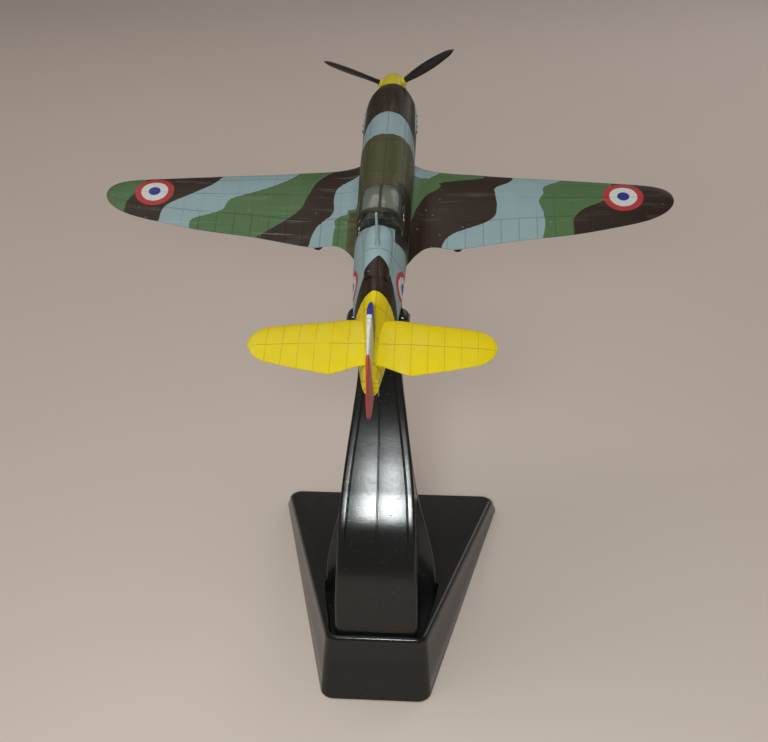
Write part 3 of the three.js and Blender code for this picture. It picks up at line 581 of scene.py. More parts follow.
MATERIALS = {
    "wing": ("camouflage_paint", wing_paint()),
    "fuselage": ("camouflage_paint", fuselage_paint()),
    "tail": ("tail_paint", tail_paint()),
    "rudder": ("tail_paint", rudder_paint()),
    "light": ("camouflage_paint", plain_paint("light_blue_grey_paint", LIGHT)),
    "frame": ("camouflage_paint", plain_paint("canopy_frame_paint", srgb(46, 44, 30))),
    "yellow": ("spinner_paint", plain_paint("spinner_yellow_paint", srgb(222, 204, 8), (0.26, 0.4))),
    "blade": ("blade_plastic", blade_plastic()),
    "stand": ("stand_black", stand_plastic("stand_black", (0.14, 0.24))),
    "stand_dull": ("stand_black", stand_plastic("stand_underside", (0.4, 0.6))),
    "clear": ("clear_plastic", canopy_clear()),
    "cockpit": ("cockpit_plastic", dull_plastic()),
    "gear": ("gear_paint", plain_paint("gear_grey_paint", srgb(132, 146, 150))),
    "rubber": ("wheel_plastic", rubber()),
    "steel": ("fastener_steel", fastener_metal()),
    "exhaust": ("exhaust_paint", exhaust_metal()),
}

# ---- Stand: base -----------------------------------------------------------
BASE = {"front_y": -22.5, "rear_y": 48.7, "front_half": 33.0, "rear_half": 12.4, "front_z": 4.74,
        "rear_z": 15.95, "flare_front": 1.9, "flare_rear": 5.6, "flare_side": 1.0, "edge": 1.9}
RECESS = {"front_y": 24.4, "rear_y": 47.4, "front_half": 15.6, "rear_half": 11.3, "depth": 2.2, "rim": 0.35}
EDGE_STEPS = 8
RIM_STEPS = 4


def base_top(y):
    along = (y - BASE["rear_y"]) / (BASE["front_y"] - BASE["rear_y"])
    return BASE["rear_z"] + along * (BASE["front_z"] - BASE["rear_z"])


def trapezoid(front_y, rear_y, front_half, rear_half, radius, height):
    """A rounded trapezoid ring, with its height a function of y."""
    outline = rounded_outline([(front_half, front_y, radius), (rear_half, rear_y, radius),
                               (-rear_half, rear_y, radius), (-front_half, front_y, radius)], 10)
    return ring(outline[:, 0], outline[:, 1], [height(y) for y in outline[:, 1]])


def base_ring(share, drop):
    """A ring of the top edge, from the wall (share 0) to the flat top (share 1)."""
    return trapezoid(BASE["front_y"] + 1.3 * share, BASE["rear_y"] - 1.1 * share,
                     BASE["front_half"] - 2.0 * share, BASE["rear_half"] - 0.85 * share, 3.0 - 0.5 * share, lambda y: base_top(y) - drop)


def foot_ring(inset, height):
    side = BASE["flare_side"] - inset
    return trapezoid(BASE["front_y"] - BASE["flare_front"] + inset, BASE["rear_y"] + BASE["flare_rear"]
                     - inset, BASE["front_half"] + side, BASE["rear_half"] + side, 3.5 - inset * 0.5, lambda y: height)


def recess_ring(grow, drop):
    return trapezoid(RECESS["front_y"] - grow, RECESS["rear_y"] + grow, RECESS["front_half"] + grow,
                     RECESS["rear_half"] + grow, 1.0 + grow, lambda y: base_top(y) - drop)


def make_base():
    rings = [foot_ring(inset, height) for inset, height in (
        (1.5, 2.4), (1.4, 0.3), (1.2, 0.0), (0.35, 0.0), (0.12, 0.1), (0.02, 0.35))]
    foot, shoulder = foot_ring(0.0, 0.35), base_ring(0, BASE["edge"])
    rings += [foot + (shoulder - foot) * share for share in (0.33, 0.66)]
    for step in range(EDGE_STEPS + 1):
        turn = math.pi / 2 * step / EDGE_STEPS
        rings.append(base_ring(1 - math.cos(turn), BASE["edge"] * (1 - math.sin(turn))))
    for step in range(RIM_STEPS + 1):
        turn = math.pi / 2 * step / RIM_STEPS
        rings.append(recess_ring(RECESS["rim"] * (1 - math.sin(turn)), RECESS["rim"] * (1 - math.cos(turn))))
    rings += [recess_ring(-0.02, RECESS["depth"] - 0.2), recess_ring(-0.2, RECESS["depth"])]
    shell = make_object("base_shell_fine", loft(rings), "stand", STAND, 32)
    finish_piece(shell, "stand", "base_shell", body="stand")
    refined("base_bottom_cover", "stand_dull", 0.2, "stand")
    for screw in [f"cover_screw_{i + 1}" for i in range(4)] + ["arm_screw_1", "arm_screw_2"]:
        refined(screw, "steel", 0.06, "stand")


# ---- Stand: arm ------------------------------------------------------------
# [height fraction, rear web y, z, half width, front plate y, z, front half width]
ARM_ROWS = [
    [0.00, 47.0, 13.4, 10.3, 26.4, 10.35, 14.6],
    [0.15, 45.4, 24.5, 10.2, 25.6, 20.0, 14.3],
    [0.28, 43.2, 33.5, 9.8, 23.9, 29.5, 12.4],
    [0.40, 39.0, 42.0, 9.5, 21.6, 39.0, 9.8],
    [0.53, 32.8, 50.1, 8.9, 18.0, 50.0, 7.8],
    [0.65, 27.3, 58.1, 7.8, 14.4, 60.5, 6.4],
    [0.77, 22.7, 66.3, 6.5, 11.0, 70.8, 5.2],
    [0.89, 19.3, 75.2, 5.3, 8.3, 80.8, 4.7],
    [1.00, 16.8, 85.3, 4.9, 5.9, 89.3, 4.5],
]
ARM_STATIONS = 110
PLATE = 1.5
GAP = 0.3


def arm_channel_ring(row, share):
    """Section of the rear shell: a web with a moulding line and a groove near each edge, and side walls."""
    rear_y, rear_z, half, front_y, front_z, cover_half = row
    groove = 0.38 * smooth_step(0.22, 0.5, share) + 0.01
    line = 0.13 * smooth_step(0.3, 0.5, share) + 0.01
    rear = np.array([rear_y, rear_z])
    front = np.array([front_y + PLATE + GAP, front_z])
    depth = np.linalg.norm(front - rear)
    along = (front - rear) / depth
    side = [(min(half, cover_half), depth, 0.3), (half, 0.55, 0.5), (half - 0.55, 0.06, 0.3),
            (half - 1.65, 0.03, 0.12), (half - 1.85, groove, 0.1), (half - 2.15, 0, 0.12)]
    middle = [(0.24, 0, 0.04), (0.06, line, 0.04), (-0.06, line, 0.04), (-0.24, 0, 0.04)]
    x, d = rounded_outline(side + middle + [(-x, d, r) for x, d, r in reversed(side)], 5).T
    return ring(x, rear[0] + along[0] * d, rear[1] + along[1] * d)


def arm_plate_ring(row):
    """Section of the front cover, a plate with rounded long edges."""
    front_y, front_z, half = row[3:]
    outline = rounded_outline([(half, 0, 0.55), (half, PLATE, 0.4), (-half, PLATE, 0.4), (-half, 0, 0.55)], 5)
    return ring(outline[:, 0], front_y + outline[:, 1], front_z)


def make_arm():
    shares = np.linspace(0, 1, ARM_STATIONS)
    rows = smooth_rows(ARM_ROWS)(shares)
    channel = loft([arm_channel_ring(row, share) for row, share in zip(rows, shares)])
    shell = make_object("arm_shell_fine", channel, "stand", STAND, 30)
    finish_piece(shell, "stand", "arm_rear_shell", body="stand")
    cover = make_object("arm_cover_fine", loft([arm_plate_ring(r) for r in rows]), "stand", STAND, 30)
    finish_piece(cover, "stand", "arm_front_cover", body="stand")
    make_cradle()
    refined("cradle_screw", "steel", 0.06, "stand")


# ---- Stand: cradle ---------------------------------------------------------
HORN = {"half": 7.35, "front": 17.15, "rear": 24.45, "top": 1.95}
SADDLE = {"half": 5.1, "front": 4.0, "top": -3.3, "bottom": -14}


def make_cradle():
    """The saddle, with its two horns rounded off into humps in plan, from behind and from the side."""
    cradle = refined("cradle", "stand", 0, "stand")
    half, front, rear, top = HORN.values()
    low = SADDLE["bottom"]
    side = [(SADDLE["half"], SADDLE["front"], 0), (SADDLE["half"], front, 0), (half, front, 2.0),
            (half, rear, 1.4)]
    plan = rounded_outline(side + [(-x, y, r) for x, y, r in reversed(side)], 8)
    behind = rounded_outline([(half, low, 0), (half, top, 2.6), (-half, top, 2.6), (-half, low, 0)], 8)
    profile = rounded_outline([(SADDLE["front"], low, 0), (rear, low, 0), (rear, top, 1.2), (front, top, 3.2),
                               (front, SADDLE["top"], 0), (SADDLE["front"], SADDLE["top"], 0)], 8)
    cut(cradle, prism("plan", plan, [0, 1, 2], low, 4), "INTERSECT")
    cut(cradle, prism("behind", behind, [0, 2, 1], 3.0, 25), "INTERSECT")
    cut(cradle, prism("profile", profile, [2, 0, 1], -8, 8), "INTERSECT")
    soften(cradle, 0.3)


# ---- Airframe: fuselage ----------------------------------------------------
# Rows: [y, half width, top z, bottom z, squareness of the section, narrowing towards the spine]
FUSELAGE_ROWS = [
    [COWL_FRONT_Y, 4.6, 11.0, 2.2, 2.1, 0], [-48, 5.9, 12.2, 0.2, 2.2, 0.02],
    [-39, 6.85, 13.4, -1.8, 2.3, 0.06],
    [-31, 6.9, 13.9, -2.8, 2.4, 0.06], [-21, 6.85, 14.2, -3.5, 2.5, 0.02], [-7, 6.5, 14.4, -3.9, 2.6, 0],
    [0, 6.3, 14.4, -4.0, 2.7, 0], [9, 6.15, 14.8, -3.8, 2.6, 0.02], [13, 6.05, 15.2, -3.5, 2.4, 0.14],
    [18, 5.8, 15.1, -3.0, 2.2, 0.32], [24, 5.4, 14.3, -2.1, 2.1, 0.4], [30, 4.6, 13.4, -1.0, 2.1, 0.38],
    [38, 3.5, 12.3, 0.8, 2.1, 0.3], [44, 2.5, 11.3, 2.2, 2.1, 0.2],
    [FUSELAGE_REAR_Y, 1.8, 10.7, 3.0, 2.1, 0.1],
]
fuselage_at = smooth_rows(FUSELAGE_ROWS)
HEADREST_ROWS = [
    [8.2, 1.4, 15.0], [8.8, 2.7, 16.0], [10.2, 3.3, 16.4], [13.5, 3.4, 16.2], [18, 3.2, 15.4],
    [23, 2.6, 14.4],
]
SILL_Z = 11.2
CANOPY_ROWS = [
    [-6.6, 3.2, 14.5], [-5.4, 4.2, 15.5], [-3.6, 4.9, 16.9], [-1.2, 5.3, 17.9], [2, 5.45, 18.2],
    [5, 5.4, 17.9], [8, 5.2, 17.0],
]
canopy_at = smooth_rows(CANOPY_ROWS)


def fuselage_ring(y, grow=0.0):
    half, top, bottom, power, narrowing = fuselage_at(y)[0]
    angle = circle(88) + 1e-6
    c, s = np.cos(angle), np.sin(angle)
    bend = 2 / power
    x = (half + grow) * np.sign(c) * np.abs(c) ** bend * (1 - narrowing * np.maximum(s, 0))
    z = (top + bottom) / 2 + ((top - bottom) / 2 + grow) * np.sign(s) * np.abs(s) ** bend
    return ring(x, y, z)


def headrest_fairing():
    """The hump behind the cockpit, standing on the body's shoulders."""
    read = smooth_rows(HEADREST_ROWS)
    shoulder = 12.5
    angle = np.linspace(0, math.pi, 26)
    rings = []
    for y in np.linspace(8.2, 23, 30):
        half, top = read(y)[0]
        rings.append(ring(half * np.cos(angle), y, shoulder + (top - shoulder) * np.sin(angle) ** 0.7))
    return loft(rings)


def dome_ring(y, shrink, low, steps=40):
    half, top = canopy_at(y)[0]
    angle = np.linspace(0, math.pi, steps)
    c = np.cos(angle)
    x = (half - shrink) * np.sign(c) * np.abs(c) ** 0.75
    return ring(x, y, low + (top - shrink - low) * np.sin(angle) ** 0.75)


def cockpit_cutter():
    """The canopy's outer shape, carried down into a tub."""
    rings = []
    for y in np.linspace(-6.65, 8.05, 30):
        arch = dome_ring(y, -0.04, SILL_Z)
        half = min(4.4, arch[0, 0] - 0.2)
        floor = ring([-half, -half, half, half], y, [10.6, 4.2, 4.2, 10.6])
        rings.append(np.concatenate([arch, floor]))
    return loft(rings)


FRAME_LINES = [-49.6, -45.5, -35.0, -24.0, -12.0, -8.2, 9.4, 16.0, 23.5, 31.0, 38.5, 44.5]
SEAM_ANGLE = 38
# Each band edge round the body: y at the spine, how far aft it runs at the side, power of that sweep
BAND_EDGES = [(-35.6, 10.5, 2.0), (-27.2, 3.5, 2.0), (6.8, 5.5, 2.0), (17.6, 11.0, 1.15), (27.0, 3.5, 2.0)]


def band_of(position, edges, outer):
    """A coordinate that crosses 1, 2, 3 ... at the successive edges."""
    count = len(edges)
    band = 1 + (position - edges[0]) / outer
    for k in range(count - 1):
        between = k + 1 + (position - edges[k]) / (edges[k + 1] - edges[k])
        band = np.where(position >= edges[k], between, band)
    beyond = np.minimum(count + (position - edges[-1]) / outer, count + 0.95)
    return np.where(position >= edges[-1], beyond, band)


def paint_fuselage(obj):
    """Stores where the paint bands, the light lower sides and the panel lines run."""
    x, y, z = local_points(obj).T
    half, top, bottom, _, _ = fuselage_at(y).T
    middle = np.interp(y, [5, 16], [0.0, -0.5])
    rise = (z - (top + bottom) / 2) / ((top - bottom) / 2)
    lean = np.arctan2(np.abs(x - middle) / half, rise) / (math.pi / 2)
    reach = np.minimum(lean, 1.25)
    edges = np.array([spine + sweep * reach**power for spine, sweep, power in BAND_EDGES])
    edges[:2] = np.maximum.accumulate(edges[:2] + [[0], [0.02]], axis=0)
    edges[3] = np.minimum(edges[3], edges[4] - 0.02)
    split = np.interp(y, [-51, -43, -33, -24, 2, 30, 48], [7.6, 8.2, 4.6, 1.6, 1.2, 1.6, 4.0])
    frames = np.arange(1, len(FRAME_LINES) + 1)
    store(obj, band=band_of(y, edges, outer=20.0),
          dark=np.minimum(np.minimum(-x - 3.6, y + 8.6), 11.0 - y + 0.25 * (z - 10)),
          under=np.where(y > 25, -1.0, split - z),
          rib=np.interp(y, [-60] + FRAME_LINES + [60], np.concatenate([[0.6], frames, [frames[-1] + 0.4]])),
          rib_gap=np.interp(y, FRAME_LINES, np.gradient(np.array(FRAME_LINES))),
          run=lean * 90 / SEAM_ANGLE, run_gap=half * math.radians(SEAM_ANGLE))


def make_fuselage():
    rings = []
    for y, grow in [(-51.75, -0.9), (-51.62, -0.45), (-51.35, -0.12)]:
        nose = fuselage_ring(COWL_FRONT_Y, grow)
        nose[:, 1] = y
        rings.append(nose)
    rings += [fuselage_ring(y) for y in np.linspace(COWL_FRONT_Y, FUSELAGE_REAR_Y, 170)]
    body = make_object("fuselage_fine", loft(rings), "fuselage")
    cut(body, make_object("hump", headrest_fairing(), "fuselage"), "UNION")
    cut(body, make_object("tub", cockpit_cutter(), "cockpit"))
    counterbore = placed(lathe([[0, -7], [1.9, -7], [1.9, -3.2], [0, -3.2]], 40, "z"), (0, -26, 0))
    cut(body, make_object("bore", counterbore, "light"))
    tidy_mesh(body, 30)
    paint_fuselage(body)
    finish_piece(body, "fuselage", "fuselage_shell", "cockpit_tub")
    for i in range(2):
        refined(f"fuselage_screw_{i + 1}", "steel", 0.06)


# ---- Airframe: wing --------------------------------------------------------
ROOT_X = 7.5
ROOT_RATIO = 0.145
TIP_RATIO = 0.115
DIHEDRAL = math.tan(math.radians(4))
RIB = {"first": 2.55, "gap": 4.35}
HINGE = 0.71
LEADING_EDGE = smooth_rows([[3, -32.1], [4, -31.5], [7.5, -29.2], [10, -28.1], [24, -25.1], [42.5, -22.3],
                            [55.6, -20.3], [64, -19.0], [71, -17.95]])
TRAILING_EDGE = smooth_rows([[3, 9.6], [4, 8.5], [6, 6.0], [7.5, 3.4], [9.2, 1.4], [17.8, 1.1], [31, -0.9],
                             [48, -2.8], [56, -4.4], [63.6, -6.2], [71, -8.0]])
TIP = {"start": 59.0, "y": -13.5}


def wing_edges(x):
    """Leading and trailing edge at a span station, closing in a round tip."""
    front, rear = LEADING_EDGE(x)[0, 0], TRAILING_EDGE(x)[0, 0]
    u = max(0.0, (x - TIP["start"]) / (HALF_SPAN - TIP["start"]))
    front = TIP["y"] + (front - TIP["y"]) * max(0.0, 1 - u**4.4) ** 0.42
    rear = TIP["y"] + (rear - TIP["y"]) * max(0.0, 1 - u**3.2) ** 0.5
    return front, rear


def airfoil(x, front, rear, z, ratio, steps=44):
    """Closed section: upper surface from back to front, then the lower one back again."""
    chord = rear - front
    along = (1 + np.cos(np.linspace(0, math.pi, steps))) / 2
    half = chord * ratio * 5 * (0.2969 * np.sqrt(along) - 0.126 * along - 0.3516 * along**2
                                + 0.2843 * along**3 - 0.1036 * along**4) + 0.12 * along
    camber = chord * 0.08 * along * (1 - along)
    upper = ring(x, front + chord * along, z + camber + half)
    lower = ring(x, front + chord * along, z + camber - half)[::-1]
    return np.concatenate([upper, lower[1:]])


def span_stations(start, end, count, tip_power=1.8):
    """Stations that crowd together towards the tip."""
    share = np.linspace(0, 1, count)
    return start + (end - start) * (1 - (1 - share) ** tip_power)


def root_fillet(section, x):
    """Raises the upper surface into a curved fillet where the wing meets the body."""
    reach = max(0.0, (11.2 - x) / 5.0)
    if reach <= 0:
        return section
    upper = np.arange(len(section)) < len(section) // 2
    along = (section[:, 1] - section[:, 1].min()) / np.ptp(section[:, 1])
    lift = 1.7 * reach**2.3 * np.sin(math.pi * np.clip(along, 0, 1) ** 0.8) ** 0.6
    section[:, 2] += np.where(upper, lift, 0.0)
    return section


PORT_EDGES = [
    [(9.4, -40), (9.3, 10)],
    [(2.5, -12.5), (6.4, -9.8), (11.0, -8.4), (12.0, -5.0), (12.3, 1.5)],
    [(3.0, -23.2), (7.2, -21.8), (11.4, -19.0), (12.8, -14.8), (12.7, -9.2), (16.2, -4.6), (17.6, 1.1)],
    [(13.1, -26.3), (17.4, -19.8), (18.6, -15.1), (19.6, -10.6), (23.2, -6.3), (30.8, -0.6)],
    [(22.0, -26.0), (24.8, -21.1), (32.9, -15.6), (38.4, -13.0), (41.6, -8.2), (47.4, -5.8), (48.1, -2.4)],
    [(41.6, -22.6), (43.9, -17.8), (48.2, -14.1), (54.6, -9.4), (55.9, -4.2)],
    [(60.2, -20.0), (61.8, -14.5), (63.9, -10.1), (64.1, -5.5)],
]
STARBOARD_EDGES = [
    [(14.6, -28.4), (13.4, -26.2), (11.3, -23.6), (9.0, -22.2), (3.0, -21.4)],
    [(23.9, -25.2), (20.6, -21.9), (14.2, -21.1), (13.3, -19.2), (9.7, -16.1), (7.6, -11.8), (6.0, -6)],
    [(31.8, -24.4), (29.8, -20.2), (27.1, -18.6), (26.8, -15.8), (27.2, -12.2), (24.3, -6.6), (15.9, -3.3),
     (12.4, 1.4)],
    [(42.9, -22.4), (42.6, -21.0), (38.6, -18.6), (37.9, -15.4), (36.9, -13.4), (38.3, -9.5), (38.8, -6.0),
     (37.9, -1.0)],
    [(56.5, -20.4), (56.1, -19.0), (53.4, -12.6), (48.7, -10.3), (46.7, -8.2), (46.0, -2.0)],
]


def wing_bands(x, y):
    """The camouflage band of each point, from 0 on the port side and from 10 on the starboard side."""
    bands = []
    for edges in (PORT_EDGES, STARBOARD_EDGES):
        at = np.array([boundary(points)(y) for points in edges])
        at[0] = np.where((edges is PORT_EDGES) & (y < -9.6), 3.0, at[0])
        at = np.maximum.accumulate(at, axis=0) + 0.02 * np.arange(len(edges))[:, None]
        bands.append(np.maximum(band_of(np.abs(x), at, outer=30.0), 0.02))
    return np.where(x > 0, bands[0], bands[1] + 10)


def make_wing():
    sides, under, alongs, chords = [], [], [], []
    for side in (1, -1):
        rings = []
        for x in span_stations(3.2, HALF_SPAN - 0.02, 150):
            front, rear = wing_edges(x)
            ratio = ROOT_RATIO + (TIP_RATIO - ROOT_RATIO) * x / HALF_SPAN
            section = root_fillet(airfoil(x, front, rear, max(0.0, x - ROOT_X) * DIHEDRAL + 0.2, ratio), x)
            section[:, 0] *= side
            rings.append(section)
            along = (section[:, 1] - front) / max(rear - front, 1e-3)
            alongs.append(along)
            chords.append(np.full(len(section), rear - front))
            upper = np.arange(len(section)) < len(section) // 2
            under.append(np.where(upper, -along - 0.02, along - 0.01))
        sides.append(loft(rings))
    obj = make_object("wing_fine", join_parts(sides), "wing", sharp=None)
    x, y, z = local_points(obj).T
    along, span = np.concatenate(alongs), np.abs(join_parts(sides)[0][:, 0])
    runs = [0, 0.14, 0.4, HINGE, 1.0]
    store(obj, band=wing_bands(x, y), under=np.concatenate(under) * 10,
          rib=(span - RIB["first"]) / RIB["gap"], rib_gap=RIB["gap"], rib_here=np.where(along > HINGE, 1.0, 0.35),
          run=np.interp(along, runs, [0.5, 1, 2, 3, 3.6]),
          run_gap=np.concatenate(chords) * np.interp(along, runs, [0.26, 0.26, 0.28, 0.35, 0.4]))
    tidy_mesh(obj, 40)
    finish_piece(obj, "wing", "wing_casting")


def make_radiator():
    read = smooth_rows([[-19, 3.0, -6.2], [-17, 3.6, -7.4], [-10, 3.9, -8.0], [-3, 3.4, -7.0],
                        [3, 2.4, -5.2]])
    angle = np.linspace(0, math.pi, 30)
    rings = []
    for y in np.linspace(-19, 3, 40):
        half, low = read(y)[0]
        rings.append(ring(half * np.cos(angle), y, -2 + (low + 2) * np.sin(angle) ** 0.6))
    bath = make_object("radiator_fine", loft(rings), "light")
    x, z = rounded_outline([(2.5, -5.9, 0.5), (2.5, -4.6, 0.4), (-2.5, -4.6, 0.4), (-2.5, -5.9, 0.5)], 4).T
    cut(bath, make_object("mouth", loft([ring(x, -20, z), ring(x * 0.9, -15, z)]), "cockpit"))
    tidy_mesh(bath, 30)
    finish_piece(bath, "light", "radiator_bath")


# ---- Airframe: tail --------------------------------------------------------
TAILPLANE_Z = 10.4
TAIL_RIB = {"first": 1.4, "gap": 3.5}
TAIL_FRONT = smooth_rows([[1.1, 33.0], [2.9, 32.7], [12, 33.6], [21, 34.8], [26.5, 35.9]])
TAIL_REAR = smooth_rows([[1.1, 44.8], [2.4, 45.1], [5.0, 46.1], [7.6, 47.15], [8.5, 47.35], [9.4, 47.25],
                         [12, 46.75], [15, 46.15], [21, 44.7], [26.5, 43.3]])
TAIL_TIP = {"start": 22.3, "end": 26.45, "y": 39.3}


def tail_edges(x):
    u = max(0.0, (x - TAIL_TIP["start"]) / (TAIL_TIP["end"] - TAIL_TIP["start"]))
    share = max(0.0, 1 - u**2.1) ** 0.5
    return [TAIL_TIP["y"] + (edge(x)[0, 0] - TAIL_TIP["y"]) * share for edge in (TAIL_FRONT, TAIL_REAR)]


def make_tailplane(name, side):
    rings = []
    for x in span_stations(1.1, TAIL_TIP["end"] - 0.01, 70):
        section = airfoil(x, *tail_edges(x), TAILPLANE_Z, 0.1, 34)
        section[:, 0] *= side
        rings.append(section)
    obj = make_object(name + "_fine", loft(rings), "tail", sharp=180)
    x, y, z = local_points(obj).T
    hinge = 39.6 + 0.03 * np.abs(x)
    store(obj, rib=(np.abs(x) - TAIL_RIB["first"]) / TAIL_RIB["gap"], rib_gap=TAIL_RIB["gap"],
          run=1 + (y - hinge) / 20, run_gap=20.0)
    tidy_mesh(obj, 40)
    finish_piece(obj, "tail", name)


def bezier(p0, p1, p2, p3, steps):
    t = np.linspace(0, 1, steps)[:, None]
    p0, p1, p2, p3 = (np.array(p, float) for p in (p0, p1, p2, p3))
    return (1 - t)**3 * p0 + 3 * (1 - t)**2 * t * p1 + 3 * (1 - t) * t**2 * p2 + t**3 * p3


FIN = {"foot": 2.8, "top": 21.09, "half": 0.65}


def make_fin():
    """Fin and rudder as one thin body, thickest at the hinge and rounded at every edge."""
    front = np.concatenate([
        [[46.5, 2.8], [46.0, 6.0], [40, 9.8], [29.6, 11.9]],
        bezier((29.6, 12.9), (31.6, 13.8), (33.1, 15.4), (34.0, 17.4), 14),
        bezier((34.0, 17.4), (35.2, 20.6), (38.0, 21.2), (40.5, 21.1), 20)[1:]])
    rear = np.concatenate([
        bezier((40.5, 21.1), (44.6, 20.8), (47.6, 18.6), (50.6, 15.8), 24),
        bezier((50.6, 15.8), (54.0, 12.4), (55.8, 9.0), (55.2, 6.6), 20)[1:],
        bezier((55.2, 6.6), (54.8, 4.4), (53.6, 3.0), (52.2, 2.8), 12)[1:]])[::-1]
    along = (1 + np.cos(np.linspace(0, math.pi, 40))) / 2
    rings = []
    for z in span_stations(FIN["foot"], FIN["top"], 90, 1.7):
        y0 = np.interp(z, front[:, 1], front[:, 0])
        y1 = np.interp(z, rear[:, 1], rear[:, 0])
        chord = max(y1 - y0, 0.05)
        round_off = (1 - np.abs(2 * along - 1) ** 5.0) ** 0.5
        thick = FIN["half"] * min(1.0, (chord / 4) ** 0.5) * round_off * (1.0 - 0.25 * along)
        y = y0 + chord * along
        rings.append(np.concatenate([ring(thick, y, z), ring(-thick, y, z)[::-1][1:-1]]))
    fin = make_object("fin_and_rudder_fine", loft(rings), "rudder", sharp=50)
    finish_piece(fin, "rudder", "fin_and_rudder")


# ---- Airframe: cockpit, canopy and mast ------------------------------------
def dome_point(y, angle):
    half, top = canopy_at(y)[0]
    c, s = math.cos(angle), math.sin(angle)
    return np.array([half * math.copysign(abs(c) ** 0.75, c), y, SILL_Z + (top - SILL_Z) * max(s, 0) ** 0.75])


def dome_normal(y, angle):
    angle = min(max(angle, 0.05), math.pi - 0.05)
    along = dome_point(min(y + 0.2, 8.0), angle) - dome_point(max(y - 0.2, -6.6), angle)
    around = dome_point(y, angle + 0.02) - dome_point(y, angle - 0.02)
    normal = np.cross(along, around)
    normal /= np.linalg.norm(normal)
    return normal if normal[2] + normal[0] * math.cos(angle) > 0 else -normal


def dome_strip(path, width):
    """A raised frame that follows the dome along (y, angle) points, with rounded edges."""
    points = np.array([dome_point(y, a) for y, a in path])
    normals = np.array([dome_normal(y, a) for y, a in path])
    h, sink, rise = width / 2, -0.1, 0.16
    profile = [(-h, sink), (h, sink), (h, rise / 2), (h * 0.7, rise), (-h * 0.7, rise), (-h, rise / 2)]
    rings = []
    for point, normal, tangent in zip(points, normals, np.gradient(points, axis=0)):
        across = np.cross(normal, tangent)
        across /= np.linalg.norm(across)
        rings.append([point + across * a + normal * b for a, b in profile])
    return loft(rings)


# Frames across the dome: (y, lean forwards at the top, width)
CANOPY_HOOPS = [(-5.9, -0.3, 0.9), (-2.6, 1.4, 0.75), (5.6, 0.0, 0.95), (7.7, 0.0, 0.4)]
# Frames along the dome: (angle from the side, front y, rear y, points, width)
CANOPY_RAILS = [(1.12, -5.8, -3.4, 12, 0.45), (math.pi / 2, -3.6, 6.4, 30, 0.62), (0.06, -5.9, 7.8, 40, 0.7),
                (0.75, -2.6, 6.4, 30, 0.35)]


def make_canopy():
    outer = [dome_ring(y, 0, SILL_Z + 0.05, 56) for y in np.linspace(-6.55, 7.95, 60)]
    inner = [dome_ring(y, 0.45, SILL_Z - 0.4, 56) for y in np.linspace(-6.0, 7.5, 60)]
    glass = make_object("canopy_fine", loft(outer), "clear")
    cut(glass, make_object("inside", loft(inner), "clear"))
    tidy_mesh(glass, 35)
    finish_piece(glass, "clear", "canopy")
    arcs = np.linspace(0.02, math.pi - 0.02, 44)
    parts = []
    for y, lean, width in CANOPY_HOOPS:
        parts.append(dome_strip([(min(max(y - lean * math.sin(a), -6.4), 7.8), a) for a in arcs], width))
    for angle, start, end, count, width in CANOPY_RAILS:
        for turn in (angle, math.pi - angle) if angle < math.pi / 2 else (angle,):
            parts.append(dome_strip([(y, turn) for y in np.linspace(start, end, count)], width))
    finish_piece(make_object("canopy_frames", join_parts(parts), "frame", sharp=50), "frame")
    refined("pilot_seat", "cockpit", 0.25)
    refined("instrument_panel", "cockpit", 0.12)
    refined("control_stick", "cockpit", 0.08)


MAST = {"y": 14.4, "foot": 15.2, "top": 24.55}


def make_mast():
    angle = circle(20)
    rings = []
    for share in np.linspace(0, 1, 16):
        z = MAST["foot"] + (MAST["top"] - MAST["foot"]) * share
        flare = 1 + 0.9 * math.exp(-(z - 15.9) * 1.6) if z > 15.9 else 1.9
        size = (1.15 - 0.4 * share) * flare
        rings.append(ring(0.36 * size * np.cos(angle), MAST["y"] + 0.62 * size * np.sin(angle), z))
    finish_piece(make_object("aerial_mast_fine", loft(rings), "light"), "light", "aerial_mast")


# ---- Airframe: nose --------------------------------------------------------
STUBS = {"first": -48.1, "gap": 2.2, "count": 6, "z": 6.95}
# Along the panel: [y, size, how far out it is carried]
PANEL_SLOPE = np.array([[-48.8, 0.5, -1.3], [-48.5, 0.85, -1.0], [-47.6, 1.0, -0.62], [-44, 1.0, 0.0],
                        [-38, 1.0, 0.28], [-35.4, 1.0, 0.25], [-34.8, 0.85, 0.05], [-34.4, 0.5, -0.2]])


def exhaust_stub(start_y):
    """A short flattened pipe that bends aft, open at its end."""
    path = ((5.9, 0, 0.42), (6.3, 0.1, 0.44), (6.5, 0.45, 0.46), (6.62, 1.0, 0.48), (6.65, 1.45, 0.5),
            (6.65, 1.45, 0.36), (6.55, 1.0, 0.34))
    angle = circle(18)
    rings = []
    for step, (out, aft, size) in enumerate(path):
        tilt = 0.25 + 0.16 * step
        u = np.cos(angle) * size * 0.7
        rings.append(ring(out + u * math.sin(tilt), start_y + aft - u * math.cos(tilt),
                          STUBS["z"] + np.sin(angle) * size))
    return loft(rings)


